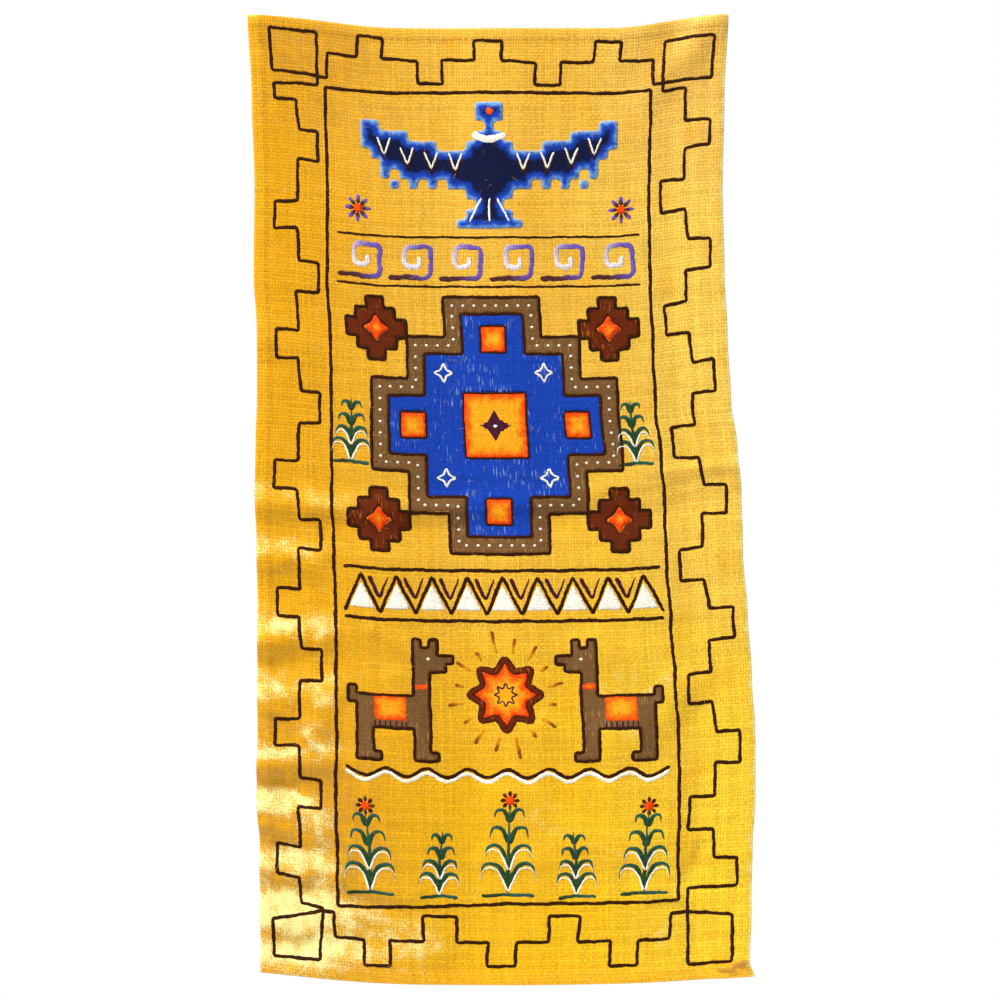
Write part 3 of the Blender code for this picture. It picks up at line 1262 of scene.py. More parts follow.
class Film:
    """All marks of one paint in one layer, as thin closed bodies on the cloth.

    Their undersides are sunk into it. A filled area's rim has a step and a burr in flat
    millimetres, a clear space in shares of the grid, and a share of the full lift.
    """

    SUNK = -0.06 * MM
    RIM_STEP = 2.2
    RIM_BURR = 0.16
    RIM_CLEAR = 0.42
    RIM_LIFT = 0.4
    ROW_SHARE = 0.87
    EDGE_CLEAR = 0.5

    def __init__(self, name: str, paint: Paint, lift: float, seed: int) -> None:
        """Starts an empty film.

        Args:
            name: The piece's name.
            paint: Its paint.
            lift: How far its upper side stands off the cloth, in millimetres.
            seed: Chooses its chance unevenness.
        """
        self.name, self.paint, self.lift = name, paint, lift * MM
        self.chance = chance(seed)
        self.points: list[np.ndarray] = []
        self.faces: list[tuple[int, ...]] = []
        self.count = 0

    def add(self, *columns: np.ndarray, faces: Iterable[Sequence[int]]) -> None:
        """Adds a body.

        Args:
            columns: Its flat places, their lifts, distances inwards and shares along.
            faces: Its faces, by its own points.
        """
        self.faces.extend(tuple(int(i) + self.count for i in face) for face in faces)
        self.points.append(np.column_stack(columns))
        self.count += len(columns[0])

    def wavering(self, count: int, step: float, reach: float) -> np.ndarray:
        """A slow chance drift of a hand, as offsets for a row of points.

        Args:
            count: How many points.
            step: Their spacing in millimetres.
            reach: About how far the drift goes.

        Returns:
            One offset for each point.
        """
        total = np.zeros(count)
        run = np.arange(count) * step
        for wave, share in ((61.0, 0.6), (23.0, 0.5), (9.0, 0.3)):
            phase = self.chance.uniform(0.0, math.tau)
            total += share * np.sin(run / wave * math.tau * self.chance.uniform(0.8, 1.2) + phase)
        return total * reach

    def stroke(
        self, points: Sequence[FlatPoint], brush: Brush = LINE, closed: bool = False
    ) -> None:
        """Paints a line.

        Args:
            points: Its corners in flat millimetres.
            brush: How it is laid.
            closed: Whether it comes back to its start.
        """
        line = resampled(rounded(points, brush.turn, closed), brush.step, closed)
        count = len(line)
        if closed:
            run = np.roll(line, -1, axis=0) - np.roll(line, 1, axis=0)
        else:
            run = np.gradient(line, axis=0)
        run /= np.maximum(np.linalg.norm(run, axis=1, keepdims=True), 1e-6)
        aside = np.stack([-run[:, 1], run[:, 0]], axis=1)
        drift = self.wavering(count, brush.step, brush.waver)
        share = np.linspace(0.0, 1.0, count)
        if closed:
            drift *= np.sin(np.pi * share) ** 0.3
        line = line + aside * drift[:, None]
        half = brush.width / 2.0 * (1.0 + self.wavering(count, brush.step, brush.swell))
        if not closed:
            blunt = np.minimum(share, 1.0 - share) * (count - 1) * brush.step
            half *= np.sqrt(np.clip((blunt + 0.25) / (brush.width * 0.45), 0.0, 1.0))
            half *= 1.0 - brush.taper * share**1.6
        rows = []
        for place in brush.profile:
            burr = 0.0
            if abs(place) == 1.0:
                burr = np.array([self.chance.uniform(-1.0, 1.0) for _ in range(count)])
                burr = burr * brush.burr * np.clip(half / brush.width * 2.0, 0.2, 1.0)
            rows.append(line + aside * (half * place + burr * np.sign(place))[:, None])
        wide = len(rows)
        across = np.abs(np.array(brush.profile))
        lifts = np.tile(np.where(across == 1.0, self.SUNK, self.lift), count)
        inwards = ((1.0 - across)[None, :] * half[:, None]).reshape(-1) * MM
        faces = []
        for number in range(count if closed else count - 1):
            here, there = number * wide, (number + 1) % count * wide
            for column in range(wide):
                beside = (column + 1) % wide
                faces.append((here + column, here + beside, there + beside, there + column))
        if not closed:
            last = (count - 1) * wide
            faces += [tuple(reversed(range(wide))), tuple(range(last, last + wide))]
        flat = np.stack(rows, axis=1).reshape(-1, 2)
        self.add(flat, lifts, inwards, np.repeat(share, wide), faces=faces)

    def patch(
        self, outlines: Sequence[Sequence[FlatPoint]], turn: float = 1.6, grid: float = 2.7
    ) -> None:
        """Fills an area.

        Args:
            outlines: Its outer line, and the lines of any holes.
            turn: How far from each corner the line starts to round.
            grid: Spacing of the points inside, in millimetres.
        """
        loops = []
        for outline in outlines:
            loop = resampled(rounded(outline, turn, True), self.RIM_STEP, True)
            burr = np.array([self.chance.gauss(0.0, self.RIM_BURR) for _ in range(loop.size)])
            loops.append(loop + burr.reshape(loop.shape))
        ring = np.concatenate(loops)
        low, high = ring.min(axis=0), ring.max(axis=0)
        columns = np.arange(low[0] + grid / 2.0, high[0], grid)
        rows = np.arange(low[1] + grid / 2.0, high[1], grid * self.ROW_SHARE)
        x, y = np.meshgrid(columns, rows)
        x = x + (np.arange(len(rows)) % 2 * grid / 2.0)[:, None]
        inner = np.stack([x, y], axis=-1).reshape(-1, 2)
        inner = inner[inside(inner, loops)]
        inner = inner[to_lines(inner, loops) > grid * self.RIM_CLEAR]
        points = [Vector(point) for point in np.concatenate([ring, inner])]
        sides, start = [], 0
        for loop in loops:
            last = start + len(loop)
            sides += [(k, k + 1 if k + 1 < last else start) for k in range(start, last)]
            start = last
        made = geometry.delaunay_2d_cdt(points, sides, [], 1, 1e-4)
        flat, corners = np.array([tuple(point) for point in made[0]]), np.array(made[2])
        corners = corners[inside(flat[corners].mean(axis=1), loops)].tolist()
        count = len(flat)
        used = {side: None for a, b, c in corners for side in ((a, b), (b, c), (c, a))}
        faces = corners + [(c + count, b + count, a + count) for a, b, c in corners]
        faces += [(b, a, a + count, b + count) for a, b in used if (b, a) not in used]
        away = to_lines(flat, loops) * MM
        lifts = np.where(away > 0.2 * MM, self.lift, self.lift * self.RIM_LIFT)
        lifts = np.concatenate([lifts, np.full(count, self.SUNK)])
        flat, away = np.concatenate([flat, flat]), np.concatenate([away, away])
        self.add(flat, lifts, away, np.zeros(count * 2), faces=faces)

    def build(self, cloth: Cloth, finishes: Finishes) -> Object:
        """Lays the film on the hanging cloth.

        Args:
            cloth: What it is painted on.
            finishes: Makes its material.

        Returns:
            The film's object.
        """
        points = np.concatenate(self.points)
        far = np.array([cloth.flat_width, cloth.flat_length]) - self.EDGE_CLEAR
        flat = np.clip(points[:, :2], self.EDGE_CLEAR, far)
        places, material = cloth.carry(flat, points[:, 2]), finishes.paint(self.paint)
        values = {"edge": points[:, 3], "along": points[:, 4]}
        log.info("%s: %d faces of paint", self.name, len(self.faces))
        return new_piece(self.name, places, self.faces, material, flat * MM, values)


class Palette:
    """Every film of the hanging, in the order in which its paints were laid."""

    def __init__(self) -> None:
        """Starts each film."""
        self.halo = Film("halo_blue_paint", Paint.HALO, 0.16, 1)
        self.blue = Film("blue_paint", Paint.BLUE, 0.18, 2)
        self.tan = Film("tan_paint", Paint.TAN, 0.18, 3)
        self.rust = Film("rust_paint", Paint.RUST, 0.18, 4)
        self.ochre = Film("ochre_paint", Paint.OCHRE, 0.16, 5)
        self.orange = Film("orange_paint", Paint.ORANGE, 0.23, 6)
        self.green = Film("green_paint", Paint.GREEN, 0.22, 7)
        self.plum = Film("plum_paint", Paint.PLUM, 0.27, 8)
        self.violet = Film("violet_paint", Paint.VIOLET, 0.22, 9)
        self.lilac = Film("lilac_paint", Paint.LILAC, 0.24, 10)
        self.white = Film("white_paint", Paint.WHITE, 0.34, 11)
        self.black = Film("black_paint", Paint.BLACK, 0.31, 12)
        self.border = Film("border_black_paint", Paint.BLACK, 0.31, 13)


@dataclass(frozen=True)
class Motif:
    """Something painted on the cloth."""

    palette: Palette

    def paint(self) -> None:
        """Paints it with the palette's films."""
        raise NotImplementedError


# The stepped border

class Level(Enum):
    """How far out a tread of the stepped line runs."""

    INNER = 0
    MIDDLE = 1
    OUTER = 2


class Tread(NamedTuple):
    """One straight run of the stepped line, which may lean outward at its far end."""

    level: Level
    length: float
    lean: float = 0.0


@dataclass(frozen=True)
class BorderSide:
    """One side of the border, between the inner corners of two squares.

    Middle and outer are distances from the straight line between those corners, and
    all treads but the first and last stand off it by the rise besides.
    """

    start: FlatPoint
    stop: FlatPoint
    outward: FlatPoint
    middle: float
    outer: float
    rise: float
    first: tuple[Tread, ...]
    repeat: tuple[Tread, ...]
    repeats: int
    last: tuple[Tread, ...]

    def line(self, hand: random.Random) -> list[FlatPoint]:
        """Works out the stepped line.

        Args:
            hand: Moves each tread a little.

        Returns:
            The line's corners in flat millimetres.
        """
        treads = [*self.first, *(self.repeat * self.repeats), *self.last]
        lengths = [tread.length + hand.uniform(-0.9, 0.9) for tread in treads]
        start, run = np.array(self.start), np.subtract(self.stop, self.start)
        out = np.array(self.outward)
        depths = {Level.INNER: 0.0, Level.MIDDLE: self.middle, Level.OUTER: self.outer}
        points, done = [], 0.0
        for number, (tread, length) in enumerate(zip(treads, lengths)):
            ends = number in (0, len(treads) - 1)
            depth = depths[tread.level] + (0.0 if ends else self.rise + hand.uniform(-0.9, 0.9))
            skew = 0.0 if number == 0 else hand.uniform(-1.8, 1.8)
            for share, lean in ((done + skew, 0.0), (done + length, tread.lean)):
                place = start + run * (share / sum(lengths)) + out * (depth + lean)
                points.append((float(place[0]), float(place[1])))
            done += length
        return points


@dataclass(frozen=True)
class SteppedBorder(Motif):
    """Four corner squares, the stepped line between them and the inner frame line."""

    squares: tuple[tuple[FlatPoint, ...], ...] = (
        ((20.7, 11.2), (66.7, 11.6), (65.8, 53.5), (21.4, 51.0)),
        ((408.4, 18.6), (457.4, 19.0), (456.0, 58.8), (408.5, 58.6)),
        ((12.4, 857.3), (60.4, 845.3), (57.4, 892.1), (13.1, 892.4)),
        ((408.6, 845.1), (451.8, 849.7), (452.6, 894.2), (411.1, 895.4)),
    )
    inner_frame: tuple[FlatPoint, ...] = (
        *((73.3, 62.9), (235.0, 61.0), (396.7, 62.8)),
        *((395.0, 360.0), (396.5, 590.0), (399.9, 833.2)),
        *((238.8, 832.6), (74.8, 839.4), (75.6, 560.0), (73.6, 300.0)),
    )

    def sides(self) -> list[BorderSide]:
        """The four sides, each from its upper or left end.

        Returns:
            Top, left, right and bottom.
        """
        inner, middle, outer = Level.INNER, Level.MIDDLE, Level.OUTER
        top_left, top_right = self.squares[0][2], self.squares[1][3]
        foot_left, foot_right = self.squares[2][1], self.squares[3][0]
        over = (Tread(middle, 31), Tread(outer, 27), Tread(middle, 32, -2.0))
        under = (Tread(middle, 27), Tread(outer, 24), Tread(middle, 28))
        top = BorderSide(
            top_left, top_right, (0.0, -1.0), 22.0, 41.5, 3.0,
            (Tread(inner, 10), *over), (Tread(inner, 25), *over), 2, (Tread(inner, 10),),
        )
        left = BorderSide(
            top_left, foot_left, (-1.0, 0.0), 22.0, 44.0, 0.0,
            (Tread(inner, 7.5), Tread(outer, 15)),
            (Tread(middle, 28, -2.6), Tread(inner, 28), Tread(middle, 37), Tread(outer, 26)), 6,
            (Tread(middle, 25, -1.5), Tread(inner, 5)),
        )
        right = BorderSide(
            top_right, foot_right, (1.0, 0.0), 23.0, 47.0, 0.0,
            (Tread(inner, 7), Tread(middle, 28), Tread(outer, 23)),
            (Tread(middle, 29), Tread(inner, 28), Tread(middle, 27, 2.0), Tread(outer, 27)), 6,
            (Tread(inner, 21),),
        )
        bottom = BorderSide(
            foot_left, foot_right, (0.0, 1.0), 24.0, 47.0, 0.0,
            (Tread(inner, 9), *under), (Tread(inner, 28), *under), 2, (Tread(inner, 16),),
        )
        return [top, left, right, bottom]

    def paint(self) -> None:
        """Paints the border in black lines."""
        hand, black = chance(31), self.palette.border
        for square in self.squares:
            black.stroke(square, closed=True)
        for side in self.sides():
            black.stroke(side.line(hand))
        black.stroke(self.inner_frame, closed=True)


# The motifs of the inner field

@dataclass(frozen=True)
class Chart:
    """A motif counted out on squared ground, in cells of flat millimetres."""

    rows: tuple[str, ...]
    cell_wide: float
    cell_high: float

    def doubled(self) -> Chart:
        """The motif with its left column as the middle of a two-sided one."""
        rows = tuple(row[:0:-1] + row for row in self.rows)
        return Chart(rows, self.cell_wide, self.cell_high)

    def loops(self, left: float, top: float) -> list[list[FlatPoint]]:
        """Walks round the filled cells.

        Args:
            left: Where the chart's left side lies, in flat millimetres.
            top: Where its top lies.

        Returns:
            The outlines, with a corner at each turn.
        """
        cells = {
            (column, row)
            for row, marks in enumerate(self.rows)
            for column, mark in enumerate(marks)
            if mark == "#"
        }
        onward: dict[tuple[int, int], list[tuple[int, int]]] = {}
        for c, r in sorted(cells):
            for here, there, beside in (
                ((c, r), (c + 1, r), (c, r - 1)),
                ((c + 1, r), (c + 1, r + 1), (c + 1, r)),
                ((c + 1, r + 1), (c, r + 1), (c, r + 1)),
                ((c, r + 1), (c, r), (c - 1, r)),
            ):
                if beside not in cells:
                    onward.setdefault(here, []).append(there)
        loops = []
        while onward:
            place = min(onward)
            walk, heading = [], (0, 0)
            while place in onward:
                choices = onward[place]
                choices.sort(
                    key=lambda to: heading[1] * (to[0] - place[0]) - heading[0] * (to[1] - place[1])
                )
                there = choices.pop(0)
                if not choices:
                    del onward[place]
                step = (there[0] - place[0], there[1] - place[1])
                if step != heading:
                    walk.append(place)
                place, heading = there, step
            loops.append([(left + c * self.cell_wide, top + r * self.cell_high) for c, r in walk])
        return loops


def moved(points: Sequence[FlatPoint], across: float, down: float) -> list[FlatPoint]:
    """Moves a line."""
    return [(x + across, y + down) for x, y in points]


def stepped_loop(middle: FlatPoint, steps: Sequence[FlatPoint]) -> list[FlatPoint]:
    """The outline of rectangles laid over each other about one middle.

    Args:
        middle: Their middle.
        steps: Half width and half height of each, from the widest to the tallest.

    Returns:
        The outline's corners.
    """
    quarter = [(steps[0][0], -steps[0][1])]
    for (_, high), (wide, higher) in zip(steps, steps[1:]):
        quarter += [(wide, -high), (wide, -higher)]
    upper = quarter + [(-x, y) for x, y in reversed(quarter)]
    return moved(upper + [(-x, -y) for x, y in upper], *middle)


def ring_of(middle: FlatPoint, radius: float, count: int = 28) -> list[FlatPoint]:
    """Points round a circle."""
    turns = [math.tau * number / count for number in range(count)]
    return [(middle[0] + radius * math.cos(t), middle[1] + radius * math.sin(t)) for t in turns]


def star_of(middle: FlatPoint, tip: float, waist: float, points: int) -> list[FlatPoint]:
    """The outline of a star with its first tip upward.

    Args:
        middle: Its middle.
        tip: How far its tips reach.
        waist: How far the corners between them reach.
        points: How many tips it has.

    Returns:
        The outline's corners.
    """
    result = []
    for number in range(points * 2):
        turn = math.pi * number / points - math.pi / 2.0
        reach = waist if number % 2 else tip
        result.append((middle[0] + reach * math.cos(turn), middle[1] + reach * math.sin(turn)))
    return result


@dataclass(frozen=True)
class SteppedBird(Motif):
    """A spread-winged bird in shaded blue, with white feather marks."""

    middle: float = 236.0
    top: float = 70.0
    half: Chart = Chart(
        (
            "##............",
            "##............",
            "#...........##",
            "##.......#####",
            "###...########",
            "#############.",
            "############..",
            "##########.#..",
            "#####.#.#.#...",
            "###...........",
            "##............",
            "###...........",
            "####..........",
        ),
        9.5,
        9.3,
    )
    feather: tuple[FlatPoint, ...] = ((-6.5, -8.0), (0.0, 8.0), (6.5, -8.0))
    feather_places: tuple[FlatPoint, ...] = ((34.0, 57.0), (58.0, 56.0), (82.0, 52.0), (105.0, 43.0))
    collar: float = 17.0
    flower_away: FlatPoint = (132.0, 104.0)

    def paint(self) -> None:
        """Paints the bird and a flower beside each wing."""
        paints = self.palette
        whole = self.half.doubled()
        left = self.middle - whole.cell_wide * len(whole.rows[0]) / 2.0
        for loop in whole.loops(left, self.top):
            paints.halo.patch([loop], turn=3.4)
        for across, down in self.feather_places:
            for side in (-1.0, 1.0):
                mark = moved(self.feather, self.middle + side * across, self.top + down)
                paints.white.stroke(mark, FINE)
                paints.black.stroke(moved(mark, 0.0, 5.5), FINE)
        ruff = curved([(-self.collar, 31.0), (0.0, 36.0), (self.collar, 31.0)])
        paints.white.stroke(moved(ruff, self.middle, self.top), BROAD)
        paints.orange.patch([ring_of((self.middle, self.top + 9.0), 5.0, 12)], turn=1.0)
        for across in (-20.0, 0.0, 20.0):
            tail = [(across * 0.4, 92.0), (across, 114.0)]
            paints.white.stroke(moved(tail, self.middle, self.top), FINE)
        for side in (-1.0, 1.0):
            across = self.middle + side * self.flower_away[0]
            paint_flower(paints, (across, self.top + self.flower_away[1]), 13.0, paints.violet)


@dataclass(frozen=True)
class ScrollBand(Motif):
    """A row of hooked scrolls that pale from brown through violet to white."""

    left: float = 88.0
    right: float = 386.0
    top: float = 203.0
    pitch: float = 50.5
    count: int = 6
    line_above: float = 4.0
    line_below: float = 43.0
    line_past: float = 5.0
    arm: tuple[FlatPoint, ...] = ((-4.0, 35.0), (6.0, 35.0), (38.0, 35.0), (38.0, 10.0))
    hook: tuple[FlatPoint, ...] = (
        *((38.0, 18.0), (38.0, 5.0), (12.0, 5.0)),
        *((12.0, 24.5), (26.5, 24.5), (26.5, 15.0)),
    )
    brush: Brush = Brush(width=5.2, turn=7.0, waver=0.7)

    def paint(self) -> None:
        """Paints the scrolls and a line above and below them."""
        for number in range(self.count):
            across = self.left + number * self.pitch
            self.palette.violet.stroke(moved(self.arm, across, self.top), self.brush)
            self.palette.lilac.stroke(moved(self.hook, across, self.top), self.brush)
        for down in (self.top - self.line_above, self.top + self.line_below):
            self.palette.black.stroke([(self.left - self.line_past, down), (self.right, down)], FINE)


@dataclass(frozen=True)
class SteppedCross(Motif):
    """A stepped cross in brown and blue, with shaded squares and corner diamonds."""

    middle: FlatPoint = (236.0, 378.0)
    outer: tuple[FlatPoint, ...] = ((122.0, 44.0), (86.0, 84.0), (48.0, 122.0))
    inner: tuple[FlatPoint, ...] = ((105.0, 28.0), (69.0, 68.0), (31.0, 106.0))
    beads: tuple[FlatPoint, ...] = ((113.5, 36.0), (77.5, 76.0), (39.5, 114.0))
    bead_step: float = 11.0
    heart: float = 31.0
    square: float = 12.5
    square_away: FlatPoint = (81.0, 82.0)
    star_away: float = 50.0
    diamond: tuple[FlatPoint, ...] = ((30.0, 8.5), (19.5, 19.5), (8.5, 30.0))
    diamond_away: FlatPoint = (116.0, 91.0)

    def paint(self) -> None:
        """Paints the cross and what stands in its arms and corners."""
        paints = self.palette
        x, y = self.middle
        outer = stepped_loop(self.middle, self.outer)
        inner = stepped_loop(self.middle, self.inner)
        heart = stepped_loop(self.middle, [(self.heart, self.heart)])
        wide, high = self.square_away
        squares = [
            stepped_loop(place, [(self.square, self.square)])
            for place in ((x + wide, y), (x - wide, y), (x, y + high), (x, y - high))
        ]
        paints.tan.patch([outer, inner])
        paints.blue.patch([inner, heart, *squares])
        for loop in (outer, inner):
            paints.black.stroke(loop, closed=True)
        for loop in (heart, *squares):
            paints.orange.patch([loop], turn=2.0)
            paints.black.stroke(loop, FINE, closed=True)
        for bead in resampled(np.array(stepped_loop(self.middle, self.beads)), self.bead_step, True):
            paint_dot(paints.white, bead, 1.4)
        paints.plum.patch([star_of(self.middle, 18.0, 10.0, 4)], turn=0.6)
        paint_dot(paints.white, self.middle, 2.0, LINE)
        for side in (-1.0, 1.0):
            for end in (-1.0, 1.0):
                place = (x + side * self.star_away, y + end * self.star_away)
                paints.white.stroke(star_of(place, 9.5, 4.0, 4), FINE, closed=True)
                place = (x + side * self.diamond_away[0], y + end * self.diamond_away[1])
                outline, eye = stepped_loop(place, self.diamond), star_of(place, 13.0, 7.0, 4)
                paints.rust.patch([outline, eye])
                paints.orange.patch([eye], turn=1.5)
                paints.black.stroke(outline, closed=True)


@dataclass(frozen=True)
class ZigzagBand(Motif):
    """A zigzag between two lines, white under it, with plum marks above.

    The marks' places are in shares of a tooth's pitch across and millimetres down.
    """

    left: float = 84.0
    right: float = 390.0
    top: float = 516.0
    high: float = 48.0
    margin: float = 6.0
    teeth: int = 9
    tooth: tuple[FlatPoint, ...] = ((-0.36, 32.0), (0.0, 7.0), (0.36, 32.0))
    rust_mark: tuple[FlatPoint, ...] = ((-0.17, 30.0), (0.0, 18.0), (0.17, 30.0))
    plum_mark: tuple[FlatPoint, ...] = ((-0.27, 1.5), (0.0, 22.0), (0.27, 1.5))

    def paint(self) -> None:
        """Paints the band."""
        paints = self.palette
        pitch = (self.right - self.left) / self.teeth
        low, foot = self.top + self.margin, self.top + self.high - self.margin
        turns = range(self.teeth * 2 + 1)
        paints.black.stroke([(self.left + k * pitch / 2.0, low if k % 2 else foot) for k in turns])
        for down in (self.top, self.top + self.high):
            paints.black.stroke([(self.left, down), (self.right, down)])
        for number in range(self.teeth):
            across = self.left + (number + 0.5) * pitch
            tooth, rust_mark, plum_mark = (
                [(x * pitch, y) for x, y in mark]
                for mark in (self.tooth, self.rust_mark, self.plum_mark)
            )
            paints.white.patch([moved(tooth, across, low)], turn=2.0)
            paints.rust.stroke(moved(rust_mark, across, low), FINE)
            if number:
                paints.plum.stroke(moved(plum_mark, across - pitch / 2.0, low), STROKE)


@dataclass(frozen=True)
class LlamaPair(Motif):
    """Two llamas that face each other across a rayed star, on a waving ground line.

    The marks on a llama are placed in cells of its chart.
    """

    middle: float = 236.0
    top: float = 582.0
    away: float = 149.0
    cell: float = 7.7
    chart: tuple[str, ...] = (
        "........#.#..",
        "........###..",
        "........#####",
        "........####.",
        "........##...",
        "........##...",
        "#.......##...",
        "##########...",
        ".#########...",
        ".#########...",
        ".#########...",
        ".##.....##...",
        ".##.....##...",
        ".##.....##...",
        ".###....###..",
    )
    blanket: tuple[FlatPoint, ...] = ((3.0, 6.8), (7.3, 6.8), (7.3, 10.2), (3.0, 10.2))
    neck_band: tuple[FlatPoint, ...] = ((7.9, 5.3), (10.1, 5.3), (10.1, 6.3), (7.9, 6.3))
    eye: FlatPoint = (9.9, 2.4)
    tassels: int = 7
    star_down: float = 634.0
    star_tip: float = 35.0
    rays: int = 16
    ground: float = 709.0
    wave_left: float = 84.0
    wave_step: float = 19.1
    wave_high: float = 4.0
    wave_turns: int = 17
    lit_down: float = 4.2

    def paint(self) -> None:
        """Paints both llamas, the star and the ground line."""
        left = self.middle - self.away
        (loop,) = Chart(self.chart, self.cell, self.cell).loops(left, self.top)
        for turned in (False, True):
            self.paint_llama(loop, turned)
        self.paint_star()
        levels = (self.ground - self.wave_high, self.ground + self.wave_high)
        turns = range(self.wave_turns)
        waves = curved([(self.wave_left + self.wave_step * k, levels[k % 2]) for k in turns])
        self.palette.white.stroke(moved(waves, 0.0, self.lit_down))
        self.palette.black.stroke(waves)

    def paint_llama(self, loop: list[FlatPoint], turned: bool) -> None:
        """Paints one llama.

        Args:
            loop: The left llama's outline.
            turned: Whether this is the right one, which is the left one turned over.
        """
        paints = self.palette
        left = self.middle - self.away

        def placed(points: Sequence[FlatPoint]) -> list[FlatPoint]:
            """Turns places in cells into flat places on this llama's side."""
            flat = [(left + x * self.cell, self.top + y * self.cell) for x, y in points]
            return mirrored(flat, self.middle) if turned else flat

        outline = mirrored(loop, self.middle) if turned else loop
        paints.tan.patch([outline])
        paints.black.stroke(outline, closed=True)
        for cover in (self.blanket, self.neck_band):
            paints.orange.patch([placed(cover)])
        paint_dot(paints.white, placed([self.eye])[0], 1.6)
        for number in range(self.tassels):
            across = 3.2 + 0.65 * number
            paints.plum.stroke(placed([(across, 10.1), (across, 10.9)]), Brush(width=2.2))

    def paint_star(self) -> None:
        """Paints the star and its rays, which are longest towards its head and foot."""
        paints = self.palette
        middle = (self.middle, self.star_down)
        paints.rust.stroke(star_of(middle, self.star_tip, 23.0, 8), BROAD, closed=True)
        paints.orange.patch([star_of(middle, self.star_tip - 3.0, 20.0, 8)], turn=2.0)
        paints.plum.stroke(star_of(middle, 12.0, 6.0, 8), FINE, closed=True)
        for number in range(self.rays):
            turn = math.tau * (number + 0.5) / self.rays
            reach = (56.0 if number % 2 else 49.0) + (6.0 if abs(math.cos(turn)) < 0.5 else 0.0)
            paints.ochre.stroke(ray(middle, turn, 40.0, reach))


class Sprig(NamedTuple):
    """A leafy sprig: its foot, its height, how far it leans and if it flowers."""

    across: float
    down: float
    tall: float
    lean: float
    flower: bool


@dataclass(frozen=True)
class Sprigs(Motif):
    """Leafy sprigs on short ground strokes, some in flower.

    A leaf's line is in shares of its reach, outward and upward.
    """

    sprigs: tuple[Sprig, ...] = (
        Sprig(106.0, 822.0, 76.0, -3.0, True),
        Sprig(171.0, 824.0, 60.0, 4.0, False),
        Sprig(237.0, 822.0, 84.0, 2.0, True),
        Sprig(303.0, 824.0, 60.0, -4.0, False),
        Sprig(367.0, 822.0, 76.0, 3.0, True),
        Sprig(93.5, 414.0, 58.0, 1.0, False),
        Sprig(371.0, 414.0, 58.0, -1.0, False),
    )
    leaves: int = 4
    lit_leaves: int = 2
    leaf: tuple[FlatPoint, ...] = ((0.0, 0.0), (0.35, 0.75), (0.85, 0.80), (1.0, 0.30))
    room: float = 0.30

    def paint(self) -> None:
        """Paints the sprigs and the ground under them."""
        for sprig in self.sprigs:
            self.paint_sprig(sprig)

    def paint_sprig(self, sprig: Sprig) -> None:
        """Paints one sprig.

        Args:
            sprig: Its place and size.
        """
        paints = self.palette
        x, y, tall = sprig.across, sprig.down, sprig.tall
        stem = curved([(x, y), (x + sprig.lean * 0.3, y - tall * 0.5), (x + sprig.lean, y - tall)])
        paints.green.stroke(stem, STROKE)
        room = self.room * tall
        paints.green.stroke([(x - room, y + 3.5), (x, y + 1.5), (x + room, y + 3.0)])
        for number in range(self.leaves):
            share = number / (self.leaves - 1)
            up = tall * (0.06 + 0.74 * share)
            reach = room * (1.05 - 0.5 * share)
            foot = x + sprig.lean * up / tall
            for side in (-1.0, 1.0):
                points = ((foot + side * reach * out, y - up - reach * rise) for out, rise in self.leaf)
                leaf = curved(list(points))
                paints.green.stroke(leaf, BLADE)
                if number < self.lit_leaves:
                    paints.white.stroke(moved(leaf, side * 0.5, 4.0), WISP)
        if sprig.flower:
            paint_flower(paints, (x + sprig.lean, y - tall - 4.0), 9.0, paints.rust)


def ray(middle: FlatPoint, turn: float, start: float, stop: float) -> list[FlatPoint]:
    """The ends of a stroke that runs straight away from a middle."""
    return [(middle[0] + math.cos(turn) * r, middle[1] + math.sin(turn) * r) for r in (start, stop)]


def paint_dot(film: Film, place: FlatPoint, half: float, brush: Brush = DOT) -> None:
    """Paints a dot as a very short stroke."""
    film.stroke([(place[0] - half, place[1]), (place[0] + half, place[1])], brush)


def paint_flower(palette: Palette, middle: FlatPoint, reach: float, petals: Film) -> None:
    """Paints a small flower of eight strokes round an orange eye.

    Args:
        palette: Takes its paints.
        middle: The flower's middle.
        reach: How far its petals go.
        petals: The film that takes the petals.
    """
    for number in range(8):
        petal = ray(middle, math.tau * number / 8.0, 4.0, reach)
        petals.stroke(petal, Brush(width=4.6, taper=0.2, waver=0.2))
    palette.orange.patch([ring_of(middle, 4.6, 12)], turn=1.0)


# Hem stitches and loose fibres, repeated by geometry nodes

